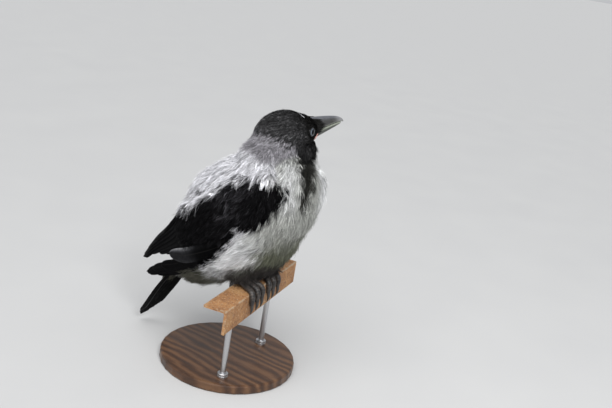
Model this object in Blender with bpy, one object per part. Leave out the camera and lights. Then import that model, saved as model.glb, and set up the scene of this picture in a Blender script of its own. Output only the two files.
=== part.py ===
"""A fledgling hooded crow, life size, squatting on a short cut of steel angle held by a display stand.

Metres, +Z up. The crow faces +X, its left is +Y, and the origin is the centre of the stand's underside.
Sizes and places are written in millimetres from the perch point, the middle of the rail's top under the
bird; MM scales them. The flesh is lofted, fused into one form and parted by thin cuts.
"""

import math

import bmesh
import bpy
import numpy as np
from mathutils import Matrix, Vector

MM = 0.001
GAP = 0.35  # between neighbouring pieces
PERCH_POINT = (20, 0, 100)  # from the centre of the stand's underside

# Stations along the body, from the tip of the rump to the throat: distance along the axis, the axis's x
# and z, the half width, the depth to the back and to the belly, then the half width and the depth of the
# surface that the folded wing lies on.
BODY = (
    (-26, -121, -36, 8, 7, 8, 29, 35),
    (0, -100, -19, 21, 19, 17, 33, 43),
    (29, -77, -1, 34, 33, 33, 38, 48),
    (59, -56, 20, 46, 47, 44, 46, 52),
    (88, -38, 43, 54, 59, 55, 54, 59),
    (110, -25, 60, 58, 63, 61, 58, 63),
    (131, -13, 78, 59, 60, 65, 59, 60),
    (152, -4, 97, 56, 51, 62, 56, 51),
    (170, 3, 114, 51, 40, 57, 51, 42),
    (184, 6, 128, 44, 32, 50, 44, 35),
    (198, 7, 142, 36, 29, 43, 36, 32),
    (216, 9, 159, 24, 20, 35, 24, 20),
)
TAIL_COVERTS = (-30, -116, -50, 10, 6, 6, 0, 0)  # closes the body over the tail instead of its first station
NECK_FROM, NECK_TO = 168, 199  # distances along the axis of the two cuts

# The head, in its own frame: x forward, y to the left, z up, before it is turned and raised.
HEAD_PLACE = (13, 10, 158)
HEAD_TURN, HEAD_LIFT = 67, 12  # degrees to the left, and up
HEAD = (  # forward, middle's height, half width, up, down
    (-41, -6, 8, 10, 10),
    (-35, -3, 16, 17, 17),
    (-26, 0, 22, 22, 23),
    (-15, 2, 25, 25, 26),
    (-3, 2, 25, 24.5, 25),
    (7, 2, 22, 21, 20),
    (15, 3, 17, 16.5, 15),
    (22, 4, 12, 12, 11),
    (28, 5, 7, 8, 8),
)
EYE_RADIUS = 6.5
EYE_PLACE = (7.5, 15.0, 6.0)
BILL_ROOT, BILL_TIP = 16, 58
UPPER_BILL = (  # forward, the cutting edge's height, half width, up, down
    (BILL_ROOT, 0.6, 7.2, 13.9, 0.5),
    (26, 1.6, 6.7, 12.2, 0.5),
    (36, 2.5, 5.2, 10.1, 0.5),
    (46, 3.2, 3.5, 7.4, 0.5),
    (53, 3.2, 2.1, 4.8, 0.5),
    (BILL_TIP, 2.4, 0.8, 1.8, 0.5),
)
LOWER_BILL = (
    (BILL_ROOT, -0.8, 6.6, 0.5, 8.4),
    (26, 0.2, 6.1, 0.5, 7.2),
    (36, 1.1, 4.7, 0.5, 5.4),
    (46, 1.8, 3.0, 0.5, 3.4),
    (54, 1.8, 1.1, 0.5, 1.3),
)

# The folded wing's edges: distance along the body, then the upper and the lower edge in degrees round it,
# from level with the axis at the side, up towards the back.
WING_EDGES = (
    (185, -22, -32),
    (181, -8, -42),
    (172, 6, -45),
    (152, 14, -40),
    (131, 22, -30),
    (110, 34, -28),
    (92, 48, -30),
    (76, 60, -31),
    (61, 66, -28),
)
SECONDARY_EDGES = (
    (60.4, 66, 6),
    (44, 66, 10),
    (26, 64, 20),
    (9, 61, 28),
    (-7, 58, 35),
    (-20, 53, 40),
    (-28, 49, 43),
)
PRIMARY_EDGES = (
    (60.4, 5, -28),
    (44, 9, -24),
    (26, 17, -14),
    (9, 23, -4),
    (-6, 28, 8),
    (-18, 30, 17),
    (-27, 28, 23),
)

TAIL_ROOT, TAIL_TIP = (-90, -8), (-141, -92)  # x and z
TAIL_FEATHERS = 6
TAIL_WIDTHS = (22, 38)  # at the root and at the tip
TAIL_DEPTHS = (5, 1.6)

FOOT_Y, FOOT_X = 19, 2
TOE_RADIUS = 2.9
TOES = {"inner": -11, "middle": 0, "outer": 12}  # how far each ends outwards of the foot's middle
CLAW_LENGTH = 10

RAIL_SIDE, RAIL_WALL, RAIL_LENGTH, RAIL_SKEW = 25, 3, 170, 12.7  # the skew in degrees
ROD_RADIUS, ROD_SPREAD = 3, 46
BASE_RADIUS, BASE_HEIGHT, BASE_EDGE = 72, 10, 2


def clear_scene():
    for item in list(bpy.data.objects):
        bpy.data.objects.remove(item, do_unlink=True)


def paint(name, colour, roughness, metallic=0.0):
    material = bpy.data.materials.new(name)
    material.use_nodes = True
    shader = material.node_tree.nodes["Principled BSDF"]
    shader.inputs["Base Color"].default_value = (*colour, 1.0)
    shader.inputs["Roughness"].default_value = roughness
    shader.inputs["Metallic"].default_value = metallic
    material.diffuse_color = (*colour, 1.0)
    return material


def empty(name, place, parent=None, turn=(0, 0, 0)):
    marker = bpy.data.objects.new(name, None)
    marker.location = Vector(place) * MM
    marker.rotation_euler = [math.radians(angle) for angle in turn]
    marker.parent = parent
    bpy.context.scene.collection.objects.link(marker)
    return marker


def add(name, shape, material, parent):
    """One object from (points in millimetres, faces), or from a mesh that is already in metres."""
    if not isinstance(shape, bpy.types.Mesh):
        points, faces = shape
        mesh = bpy.data.meshes.new(name)
        mesh.from_pydata([Vector(point) * MM for point in points], [], faces)
        work = bmesh.new()
        work.from_mesh(mesh)
        bmesh.ops.recalc_face_normals(work, faces=work.faces)
        work.to_mesh(mesh)
        work.free()
        shape = mesh
    built = bpy.data.objects.new(name, shape)
    built.parent = parent
    if material:
        shape.materials.clear()
        shape.materials.append(material)
    shape.shade_smooth()
    shape.set_sharp_from_angle(angle=math.radians(40))
    bpy.context.scene.collection.objects.link(built)
    return built


def smooth(rows, count):
    """Rows read off a smooth curve through the given ones."""
    rows = np.array(rows, float)
    rows = np.vstack([2 * rows[0] - rows[1], rows, 2 * rows[-1] - rows[-2]])
    place = np.linspace(0, len(rows) - 3, count)
    first = np.minimum(place.astype(int), len(rows) - 4)
    t = (place - first)[:, None]
    a, b, c, d = (rows[first + k] for k in range(4))
    return b + (c - a) * t / 2 + (2 * a - 5 * b + 4 * c - d) * t**2 / 2 + (3 * b - a - 3 * c + d) * t**3 / 2


def loft(centres, widths, ups, downs, sides, hint):
    """A closed body through oval sections; hint points roughly out of its upper side."""
    centres = np.array(centres, float)
    tangents = np.gradient(centres, axis=0)
    turn = np.arange(sides) * 2 * math.pi / sides
    rings = []
    for centre, tangent, width, up, down in zip(centres, tangents, widths, ups, downs):
        side = np.cross(hint, tangent)
        side /= np.linalg.norm(side)
        top = np.cross(tangent, side)
        top /= np.linalg.norm(top)
        height = np.where(np.sin(turn) > 0, up, down)
        rings.append(centre + np.outer(np.cos(turn) * width, side) + np.outer(np.sin(turn) * height, top))
    points = [centres[0], *np.vstack(rings), centres[-1]]
    return points, loft_faces(len(rings), sides)


def loft_faces(count, sides):
    last = count * sides + 1
    faces = []
    for j in range(sides):
        k = (j + 1) % sides
        faces.append((0, 1 + k, 1 + j))
        faces.append((last, last - sides + j, last - sides + k))
        for i in range(count - 1):
            a, b = 1 + i * sides, 1 + (i + 1) * sides
            faces.append((a + j, a + k, b + k, b + j))
    return faces


def straight_loft(rows, sides, count):
    """A loft along x from rows of (x, z, half width, up, down)."""
    x, z, width, up, down = smooth(rows, count).T
    return loft(np.column_stack([x, 0 * x, z]), width, up, down, sides, (0, 0, 1))


def tube(path, radii, sides, count, hint=(0, 1, 0)):
    """A round loft along rows of (x, y, z)."""
    rows = smooth([(*point, radius) for point, radius in zip(path, radii)], count)
    return loft(rows[:, :3], rows[:, 3], rows[:, 3], rows[:, 3], sides, hint)


def moved(shape, matrix):
    points, faces = shape
    return [matrix @ Vector(point) for point in points], faces


def mirrored(shape):
    points, faces = shape
    return [(x, -y, z) for x, y, z in points], faces


def joined(shapes):
    points, faces = [], []
    for some_points, some_faces in shapes:
        faces += [tuple(index + len(points) for index in face) for face in some_faces]
        points += list(some_points)
    return points, faces


def evaluated(thing):
    graph = bpy.context.evaluated_depsgraph_get()
    return bpy.data.meshes.new_from_object(thing.evaluated_get(graph))


def helper(thing):
    thing.hide_render = True
    thing.display_type = "WIRE"
    return thing


def fused(name, shapes, voxel, rounds, ratio, parent):
    """One closed skin round overlapping shapes, smoothed and thinned out."""
    lump = helper(add(name + "_lump", joined(shapes), None, parent))
    remesh = lump.modifiers.new("fuse", "REMESH")
    remesh.mode, remesh.voxel_size = "VOXEL", voxel * MM
    relax = lump.modifiers.new("relax", "SMOOTH")
    relax.factor, relax.iterations = 0.5, rounds
    thin = lump.modifiers.new("thin", "DECIMATE")
    thin.ratio = ratio
    bpy.context.view_layer.update()
    return evaluated(lump)


def between(mesh, cuts):
    """A copy of a closed mesh kept on the inner side of planes (point, outward normal), and capped."""
    work = bmesh.new()
    work.from_mesh(mesh)
    for point, normal in cuts:
        geometry = work.verts[:] + work.edges[:] + work.faces[:]
        bmesh.ops.bisect_plane(work, geom=geometry, plane_co=Vector(point) * MM, plane_no=normal,
                               clear_outer=True)
        rim = [edge for edge in work.edges if edge.is_boundary]
        bmesh.ops.holes_fill(work, edges=rim)
    bmesh.ops.triangulate(work, faces=[face for face in work.faces if len(face.verts) > 4])
    bmesh.ops.recalc_face_normals(work, faces=work.faces)
    part = bpy.data.meshes.new("part")
    work.to_mesh(part)
    work.free()
    return part


def carve(thing, tool, grow=GAP):
    """Cut a slightly grown copy of a neighbour out of a piece."""
    mesh = evaluated(tool)
    normals = np.array([vertex.normal for vertex in mesh.vertices])
    places = np.array([vertex.co for vertex in mesh.vertices]) + normals * grow * MM
    mesh.vertices.foreach_set("co", places.ravel())
    cutter = bpy.data.objects.new(tool.name + "_room", mesh)
    cutter.matrix_world = tool.matrix_world
    bpy.context.scene.collection.objects.link(cutter)
    helper(cutter)
    cut = thing.modifiers.new(cutter.name, "BOOLEAN")
    cut.operation, cut.solver, cut.object = "DIFFERENCE", "EXACT", cutter


# The body

FINE_BODY = smooth(BODY, 240)


def body_row(along):
    return [np.interp(along, FINE_BODY[:, 0], FINE_BODY[:, k]) for k in range(1, 8)]


def body_axis(along):
    """The axis's place and direction; it runs on straight past the tail's root."""
    start = np.array(body_row(max(along, BODY[0][0]))[:2])
    step = np.array(body_row(max(along, BODY[0][0]) + 4)[:2]) - start
    step /= np.linalg.norm(step)
    return start + min(along - BODY[0][0], 0) * step, step


def wing_point(along, angle, lift):
    """A point over the surface on which the folded right wing lies."""
    (x, z), (run, rise) = body_axis(along)
    belly, width, back = (body_row(along)[k] for k in (4, 5, 6))
    reach = (back if angle > 0 else belly) + lift
    up = reach * math.sin(math.radians(angle))
    return x - rise * up, -(width + lift) * math.cos(math.radians(angle)), z + run * up


def body_shape():
    _, x, z, width, back, belly, _, _ = smooth((TAIL_COVERTS, *BODY[1:]), 40).T
    return loft(np.column_stack([x, 0 * x, z]), width, back, belly, 32, (-1, 0, 0.3))


def head_matrix():
    turn = Matrix.Rotation(math.radians(HEAD_TURN), 4, "Z")
    lift = Matrix.Rotation(math.radians(-HEAD_LIFT), 4, "Y")
    return Matrix.Translation(HEAD_PLACE) @ turn @ lift


def build_flesh(parent, material):
    head = moved(straight_loft(HEAD, 28, 24), head_matrix())
    whole = fused("flesh", [body_shape(), head], 2.5, 14, 0.021, parent)
    pieces = {}
    limits = {"trunk": (None, NECK_FROM), "neck": (NECK_FROM, NECK_TO), "head": (NECK_TO, None)}
    for name, (low, high) in limits.items():
        cuts = []
        for along, side in ((low, -1), (high, 1)):
            if along is not None:
                (x, z), (run, rise) = body_axis(along)
                shift = -side * GAP / 2
                point = (x + run * shift, 0, z + rise * shift)
                cuts.append((point, (run * side, 0, rise * side)))
        pieces[name] = add(name, between(whole, cuts), material, parent)
    return pieces


# The head's parts


def build_bill(turned, horn):
    upper = straight_loft(UPPER_BILL, 14, 10)
    lower = straight_loft(LOWER_BILL, 14, 8)
    top = add("upper_bill", upper, horn, turned)
    under = add("lower_bill", lower, horn, turned)
    carve(under, top)
    return top, under


def build_eyes(turned, glass):
    eyes = []
    for name, side in (("eye_left", 1), ("eye_right", -1)):
        x, y, z = EYE_PLACE
        work = bmesh.new()
        bmesh.ops.create_uvsphere(work, u_segments=12, v_segments=8, radius=EYE_RADIUS * MM)
        mesh = bpy.data.meshes.new(name)
        work.to_mesh(mesh)
        work.free()
        eye = add(name, mesh, glass, turned)
        eye.location = Vector((x, side * y, z)) * MM
        eyes.append(eye)
    return eyes


# Wings and tail


def wing_plate(edges, thickness, inset, along_steps, across_steps):
    """A closed plate on the wing's surface between two edges, thinner towards its rear end and rims."""
    rows = smooth(edges, along_steps)
    outer, inner = [], []
    for i, (along, top, low) in enumerate(rows):
        rear = i / (along_steps - 1)
        for j in range(across_steps):
            v = j / (across_steps - 1)
            swell = math.sqrt(max(0.0, 1 - (2 * v - 1) ** 2))
            depth = (thickness[0] + (thickness[1] - thickness[0]) * rear) * (0.45 + 0.55 * swell)
            angle = top + (low - top) * v
            outer.append(wing_point(along, angle, depth - inset))
            inner.append(wing_point(along, angle, -inset))
    return plate(outer, inner, along_steps, across_steps)


def plate(outer, inner, rows, columns):
    """Faces round two grids of points, one on each side of a plate."""
    half = rows * columns
    faces = []
    for i in range(rows - 1):
        for j in range(columns - 1):
            a, b = i * columns + j, (i + 1) * columns + j
            faces.append((a, a + 1, b + 1, b))
            faces.append((half + a, half + b, half + b + 1, half + a + 1))
    rim = [i * columns for i in range(rows)]
    rim += [(rows - 1) * columns + j for j in range(1, columns)]
    rim += [i * columns + columns - 1 for i in range(rows - 2, -1, -1)]
    rim += list(range(columns - 2, 0, -1))
    for a, b in zip(rim, rim[1:] + rim[:1]):
        faces.append((a, b, half + b, half + a))
    return outer + inner, faces


def build_wings(parent, black):
    wings = []
    plates = {
        "wing": wing_plate(WING_EDGES, (6.5, 5), 2.5, 13, 7),
        "secondaries": wing_plate(SECONDARY_EDGES, (5, 2.2), 2.5, 11, 6),
        "primaries": wing_plate(PRIMARY_EDGES, (5, 2.0), 2.5, 11, 6),
    }
    for name, shape in plates.items():
        wings.append(add(name + "_right", shape, black, parent))
        wings.append(add(name + "_left", mirrored(shape), black, parent))
    return wings


def build_tail(parent, black):
    """One closed fan of overlapping feathers with rounded tips, lightly arched across."""
    (x0, z0), (x1, z1) = TAIL_ROOT, TAIL_TIP
    length = math.hypot(x1 - x0, z1 - z0)
    run, rise = (x1 - x0) / length, (z1 - z0) / length
    rows, columns = 6, 3 * TAIL_FEATHERS + 1
    upper, under = [], []
    for i in range(rows):
        t = i / (rows - 1)
        for j in range(columns):
            v = 2 * j / (columns - 1) - 1
            feather = abs(math.sin(math.pi * TAIL_FEATHERS * (v + 1) / 2))
            reach = length * t * (1 - 0.10 * v * v - 0.06 * (1 - feather) * t)
            y = v * (TAIL_WIDTHS[0] + (TAIL_WIDTHS[1] - TAIL_WIDTHS[0]) * t) / 2
            depth = TAIL_DEPTHS[0] + (TAIL_DEPTHS[1] - TAIL_DEPTHS[0]) * t
            for side, points in ((0.5, upper), (-0.5, under)):
                out = side * depth - 4 * v * v
                points.append((x0 + run * reach + rise * out, y, z0 + rise * reach - run * out))
    return add("tail", plate(upper, under, rows, columns), black, parent)


# Legs


def rail_middle(y):
    """Where the skewed rail's middle line lies at this y."""
    return -math.tan(math.radians(RAIL_SKEW)) * y


def toe_paths(side):
    """Each toe's path over the rail's edge, on the left (1) or the right (-1)."""
    foot = side * FOOT_Y
    half = RAIL_SIDE / 2 / math.cos(math.radians(RAIL_SKEW))
    lie = TOE_RADIUS + GAP
    paths = {}
    for name, spread in TOES.items():
        end = foot + side * spread
        edge = rail_middle(end) + half
        paths[name] = [(FOOT_X - 2, foot, lie + 2), (FOOT_X + 4, foot + side * spread * 0.45, lie + 0.6),
                       (edge - 1.5, end - side * spread * 0.12, lie), (edge + lie - 0.4, end, -1.5),
                       (edge + lie, end, -10.5)]
    rear = rail_middle(foot) - half
    paths["hind"] = [(FOOT_X + 1, foot, lie + 1.4), (rear + 3, foot + side * 2, lie),
                     (rear - lie + 0.6, foot + side * 2, -1.5), (rear - lie, foot + side * 2, -8)]
    return paths


def build_foot(parent, word, side, scute, horn):
    shapes, claws = [], []
    for name, path in toe_paths(side).items():
        radii = [TOE_RADIUS + 0.4] + [TOE_RADIUS] * (len(path) - 2) + [TOE_RADIUS * 0.75]
        shapes.append(tube(path, radii, 8, 12))
        x, y, z = path[-1]
        out = -1 if name == "hind" else 1
        hook = [(x, y, z + 0.5), (x + out * 0.9, y, z - CLAW_LENGTH / 2), (x - out * 0.2, y, z - CLAW_LENGTH)]
        claws.append(add(f"claw_{word}_{name}", tube(hook, (1.7, 1.2, 0.35), 6, 5), horn, parent))
    foot = add(f"foot_{word}", fused("foot_" + word, shapes, 0.8, 3, 0.034, parent), scute, parent)
    return foot, claws


def build_leg(parent, word, side, scute, fluff):
    y = side * FOOT_Y
    shank = [(FOOT_X - 0.5, y, 9), (FOOT_X - 5, y + side, 13), (FOOT_X - 13, y + 2 * side, 19)]
    tarsus = add(f"tarsus_{word}", tube(shank, (3.1, 2.8, 3.0), 8, 5), scute, parent)
    path = [(4, y, 9), (-1, y + side, 14), (-10, y + 2 * side, 23), (-24, y + 3 * side, 38)]
    thigh = add(f"thigh_{word}", tube(path, (8, 12.5, 15.5, 17), 10, 6), fluff, parent)
    return tarsus, thigh


# The perch and its stand


def build_rail(parent, rust):
    """A steel angle, its upper flange level and the other hanging from the front edge."""
    half = RAIL_SIDE / 2
    outline = [(-half, 0), (half, 0), (half, -RAIL_SIDE), (half - RAIL_WALL, -RAIL_SIDE),
               (half - RAIL_WALL, -RAIL_WALL), (-half, -RAIL_WALL)]
    points = [(x, y, z) for y in (-RAIL_LENGTH / 2, RAIL_LENGTH / 2) for x, z in outline]
    count = len(outline)
    faces = [tuple(range(count))[::-1], tuple(range(count, 2 * count))]
    faces += [(i, (i + 1) % count, count + (i + 1) % count, count + i) for i in range(count)]
    rail = add("stand_perch_rail", (points, faces), rust, parent)
    rail.rotation_euler.z = math.radians(RAIL_SKEW)
    worn = rail.modifiers.new("worn_edges", "BEVEL")
    worn.width, worn.segments = 0.8 * MM, 2
    return rail


def cylinder(radius, low, high, sides):
    """A turned solid standing on z, as points and faces."""
    turn = [2 * math.pi * k / sides for k in range(sides)]
    points = [(radius * math.cos(a), radius * math.sin(a), z) for z in (low, high) for a in turn]
    faces = [tuple(range(sides))[::-1], tuple(range(sides, 2 * sides))]
    faces += [(k, (k + 1) % sides, sides + (k + 1) % sides, sides + k) for k in range(sides)]
    return points, faces


def build_stand(parent, wood, steel):
    base = add("stand_base", cylinder(BASE_RADIUS, 0, BASE_HEIGHT, 32), wood, None)
    edge = base.modifiers.new("edge", "BEVEL")
    edge.width, edge.segments = BASE_EDGE * MM, 2
    top = -RAIL_WALL - GAP
    low = BASE_HEIGHT - PERCH_POINT[2] + GAP
    for name, side in (("stand_rod_a", -1), ("stand_rod_b", 1)):
        rod = add(name, cylinder(ROD_RADIUS, low, top, 16), steel, parent)
        skew = math.radians(RAIL_SKEW)
        rod.location = Vector((-math.sin(skew), math.cos(skew), 0)) * side * ROD_SPREAD * MM


def build():
    clear_scene()
    grey = paint("grey_down", (0.55, 0.55, 0.56), 0.85)
    black = paint("black_feather", (0.02, 0.02, 0.025), 0.45)
    horn = paint("bill_horn", (0.09, 0.10, 0.11), 0.35)
    glass = paint("eye", (0.05, 0.07, 0.10), 0.05)
    scute = paint("foot_scutes", (0.06, 0.055, 0.055), 0.5)
    fluff = paint("leg_down", (0.05, 0.045, 0.04), 0.9)
    rust = paint("rusty_steel", (0.36, 0.17, 0.08), 0.8, 0.2)
    wood = paint("stained_wood", (0.03, 0.025, 0.022), 0.4)
    steel = paint("rod_steel", (0.5, 0.5, 0.5), 0.35, 1.0)

    perch = empty("perch_point", PERCH_POINT)
    turned = empty("head_frame", HEAD_PLACE, perch, (0, -HEAD_LIFT, HEAD_TURN))
    bpy.context.view_layer.update()

    flesh = build_flesh(perch, grey)
    bill = build_bill(turned, horn)
    eyes = build_eyes(turned, glass)
    wings = build_wings(perch, black)
    tail = build_tail(perch, black)
    rail = build_rail(perch, rust)
    build_stand(perch, wood, steel)
    legs = []
    for word, side in (("left", 1), ("right", -1)):
        foot, claws = build_foot(perch, word, side, scute, horn)
        tarsus, thigh = build_leg(perch, word, side, scute, fluff)
        legs.append((foot, claws, tarsus, thigh))
    bpy.context.view_layer.update()

    for tool in (*eyes, *bill):
        carve(flesh["head"], tool)
    for tool in (*wings, tail, rail):
        carve(flesh["trunk"], tool)
    for tool in wings:
        carve(flesh["neck"], tool)
        if tool.name.startswith(("secondaries", "primaries")):
            carve(tail, tool)
    for foot, claws, tarsus, thigh in legs:
        for tool in (thigh, foot, tarsus):
            carve(flesh["trunk"], tool)
        carve(thigh, foot)
        carve(thigh, tarsus)
        for tool in (rail, tarsus, *claws):
            carve(foot, tool)


build()
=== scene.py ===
"""The looks of a fledgling hooded crow on a cut length of rusty rail, on a plain display stand.

Lengths are in millimetres from the perch point, the middle of the rail's upper face, until a
mesh is made: then they become metres in the frame of the CAD model. +X is the way the bird
faces, +Y its left, +Z up.
"""

import math
from typing import NamedTuple

import bmesh
import bpy
import numpy as np
from mathutils import Matrix, Vector
from mathutils.bvhtree import BVHTree

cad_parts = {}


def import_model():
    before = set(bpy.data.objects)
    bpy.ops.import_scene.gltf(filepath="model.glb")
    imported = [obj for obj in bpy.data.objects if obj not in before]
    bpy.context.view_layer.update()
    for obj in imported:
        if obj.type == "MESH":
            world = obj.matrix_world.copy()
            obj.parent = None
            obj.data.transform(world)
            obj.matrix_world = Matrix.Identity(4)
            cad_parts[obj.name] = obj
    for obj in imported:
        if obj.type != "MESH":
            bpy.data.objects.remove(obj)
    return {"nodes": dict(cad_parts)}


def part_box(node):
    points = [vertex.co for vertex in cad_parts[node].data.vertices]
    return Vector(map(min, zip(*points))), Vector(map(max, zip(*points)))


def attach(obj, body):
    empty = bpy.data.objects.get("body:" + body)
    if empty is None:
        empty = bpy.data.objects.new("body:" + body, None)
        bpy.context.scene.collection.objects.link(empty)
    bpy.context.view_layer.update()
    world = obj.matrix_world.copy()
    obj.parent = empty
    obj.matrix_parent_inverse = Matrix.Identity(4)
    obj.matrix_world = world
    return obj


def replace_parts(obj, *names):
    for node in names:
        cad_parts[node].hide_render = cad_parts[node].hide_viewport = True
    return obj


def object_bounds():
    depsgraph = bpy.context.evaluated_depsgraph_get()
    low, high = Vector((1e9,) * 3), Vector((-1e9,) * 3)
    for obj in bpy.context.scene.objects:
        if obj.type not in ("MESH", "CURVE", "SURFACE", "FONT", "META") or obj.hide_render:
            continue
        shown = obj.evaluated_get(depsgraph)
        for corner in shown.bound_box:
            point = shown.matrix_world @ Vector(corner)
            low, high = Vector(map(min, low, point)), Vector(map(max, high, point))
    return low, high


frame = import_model()
CAD_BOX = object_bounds()

MM = 0.001
PERCH = np.array((0.020, 0.0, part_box("stand_perch_rail")[1][2]))  # metres
SIDES = (("left", 1), ("right", -1))
SEED = 7
# Each of these parts has random draws of its own.
PICKED = ("coat", "bristles", "feathers", "scapulars", "lashes", "shanks", "flecks", "cheeks")

# The body's form, the same driving dimensions as the solids have --------------------------

ALONG, AXIS_X, AXIS_Z, UNDER, WING_WIDTH, WING_BACK = range(6)
BODY = (  # a place along, the axis there, and how far the form reaches from the axis
    (-26, -121, -36, 8, 29, 35),
    (0, -100, -19, 17, 33, 43),
    (29, -77, -1, 33, 38, 48),
    (59, -56, 20, 44, 46, 52),
    (88, -38, 43, 55, 54, 59),
    (110, -25, 60, 61, 58, 63),
    (131, -13, 78, 65, 59, 60),
    (152, -4, 97, 62, 56, 51),
    (170, 3, 114, 57, 51, 42),
    (184, 6, 128, 50, 44, 35),
    (198, 7, 142, 43, 36, 32),
    (216, 9, 159, 35, 24, 20),
)
NECK_AXIS = (7, 2)  # x, y
HEAD_PLACE = (13, 10, 158)
HEAD_TURN, HEAD_LIFT = 67, 12  # degrees to the left, and up
EYE_RADIUS = 6.5
EYE_PLACE = (7.5, 15.0, 6.0)  # forward, sideways, up in the head
EYE_AIM = np.array((0.52, 0.86, 0.02))
EYE_CLEARANCE = 4.3  # no tuft starts nearer to the eye's axis
LID_RINGS = ((3.6, 0.34, 0.15), (4.2, 0.5, -0.1), (4.9, 0.6, -0.6))  # radius, thickness, depth
LID_BEADS = 24  # round each ring
UPPER_BILL = (  # forward, the cutting edge's height, half width, up, down
    (16, 0.6, 7.2, 13.9, 0.5),
    (26, 1.9, 6.7, 11.9, 0.4),
    (36, 3.3, 5.2, 9.3, 0.3),
    (46, 4.4, 3.5, 6.6, 0.3),
    (53, 4.4, 2.1, 4.7, 0.3),
    (57.5, 3.6, 1.1, 2.7, 0.4),
    (59, 3.0, 0.4, 1.2, 0.4),
)
LOWER_BILL = (
    (16, -0.8, 6.6, 0.5, 8.4),
    (26, 0.5, 6.1, 0.5, 7.5),
    (36, 1.9, 4.7, 0.3, 6.2),
    (46, 3.0, 3.0, 0.3, 4.6),
    (53.5, 3.2, 1.3, 0.3, 2.6),
    (56, 3.0, 0.5, 0.3, 1.1),
)
GAPE = ((17.2, 10.9, -5.2), (19.0, 10.2, -3.9), (21.2, 9.0, -2.2), (25.5, 7.4, 0.4))  # in the head
GAPE_RADIUS = 1.05
TAIL_ROOT, TAIL_TIP = (-90, -8), (-141, -92)
TAIL_FEATHERS, TAIL_HALF_WIDTH = 12, 5.2
TAIL_LEAN, TAIL_ROLL = -4.0, 0.3  # to the right in mm, and how it slopes across
FOOT_Y, FOOT_X = 19, 2
TOE_RADIUS = 2.9
TOES = {"inner": -11, "middle": 0, "outer": 12}  # how far their ends spread
SCUTE_PITCH, SHANK_PITCH = 2.3, 3.2  # the length of a scute on the toes and on the shanks
CLAW_LENGTH = 10
GAP = 0.35  # between the toes and the rail
RAIL_SIDE, RAIL_WALL, RAIL_LENGTH, RAIL_SKEW = 25, 3, 170, 12.7  # the last in degrees
RAIL_ROUND, RAIL_FILLET, RAIL_CHIPS = 0.7, 1.5, 0.12
COLLAR_RADIUS, COLLAR_HEIGHT = 5.5, 4.5

# The folded wing, in places along the body and angles up from its side ---------------------

TERTIALS = (  # root's and tip's (along, angle), half width; the first lies on top
    ((88, 58), (30, 63), 8.5),
    ((86, 56), (14, 62), 8.5),
    ((84, 52), (-4, 59), 8.0),
    ((84, 46), (-16, 56), 8.0),
    ((82, 38), (-24, 52), 7.5),
    ((82, 30), (-26, 48), 7.5),
    ((82, 22), (-22, 44), 7.5),
    ((82, 14), (-8, 40), 7.5),
    ((82, 7), (6, 33), 7.5),
    ((84, 0), (18, 28), 7.0),
)
PRIMARIES = (
    ((80, -6), (4, 10), 5.0),
    ((80, -9), (-13, 13), 4.8),
    ((80, -12), (-24, 15.5), 4.2),
    ((80, -15), (-23, 12), 4.5),
    ((80, -18), (-11, 6), 5.5),
    ((80, -22), (3, -1), 6.0),
    ((84, -25), (15, -4), 6.0),
)
SHEEN_FEATHER, SHEEN_BEND = ((116, -22), (31, 16), 8.2), -5
COVERTS, COVERT_WIDTH = 12, 5.6
FEATHER_ROWS = 18  # points along a long feather
GREY_OVER_WING = (  # where the grey of the back gives way to the black wing
    (40, 78), (61, 64), (76, 54), (92, 42), (108, 33), (122, 30), (138, 27), (152, 24),
    (168, 17), (175, 8), (179, -3), (182, -15), (184, -30), (182, -38), (188, -48),
)
GREY_UNDER_WING = (  # the same at the wing's lower edge
    (50, -30), (78, -30), (110, -29), (130, -26), (139, -21), (145, -32), (150, -36),
    (160, -40), (169, -44), (178, -47), (186, -52),
)
WING_FRONT, WING_REAR = 182, 56  # where the black coat on the wing ends
WING_LOW = (  # the lower edge of the feathers that hide the coat
    (2, -2), (14, -11), (27, -11), (41, -16), (56, -24), (66, -28), (76, -30),
)
HOOD_EDGE = (  # azimuth, height: the hood's lower edge, which dips under the turned chin
    (-180, 163), (-110, 160), (-60, 157), (-29, 152), (-22, 141), (76, 141), (84, 152),
    (120, 157), (180, 163),
)
CREASES = (  # a line through the coat, its width and depth, and whether it lies on both sides; the first and the last also get painted shade
    (((27, -37, 137), (33, -36, 129), (39, -37, 119)), 3.8, 4.5, True),
    (((48, -10, 139), (51, -15, 127), (54, -14, 110)), 5.0, 3.0, False),
    (((-18, -33, 128), (-13, -35, 130)), 1.8, 1.0, False),
)

# Colours, in linear light -------------------------------------------------------------------

# the crown's black, paler than the face's partly with painted sheen from above
CROWN_BLACK_AND_SHEEN = np.array((0.0275, 0.0272, 0.028))
FACE_BLACK = np.array((0.0056, 0.0055, 0.0053))
WING_BLACK = np.array((0.0030, 0.0029, 0.0032))
TAIL_BLACK = np.array((0.004, 0.004, 0.004))
THROAT = np.array((0.0026, 0.0025, 0.0025))
BIB = np.array((0.0085, 0.0082, 0.0068))
NECK_GREY = np.array((0.385, 0.373, 0.40))
MANTLE = np.array((0.78, 0.777, 0.81))
# grey-white breast, darkened and tinted green with painted shade and reflected green light
BREAST_GREY_AND_SHADE = np.array((0.47, 0.478, 0.45))
FLANK = np.array((0.86, 0.865, 0.875))
# mostly painted shade and green reflected light under the body, over a grey-white coat
BELLY_GREY_SHADE_AND_BOUNCE = np.array((0.125, 0.13, 0.086))
FUZZ = np.array((0.030, 0.026, 0.024))
UNDERTAIL = np.array((0.11, 0.107, 0.082))
# painted shade for the shoulder and nape creases
PAINTED_CREASE_SHADE = np.array((0.045, 0.044, 0.045))
WING_TONE = np.array((0.0022, 0.0021, 0.0024))
# painted sky sheen on the greyer wing feather
PAINTED_SHEEN_TONE = np.array((0.028, 0.028, 0.031))
UNDER_TONE = np.array((0.008, 0.0085, 0.010))
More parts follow.
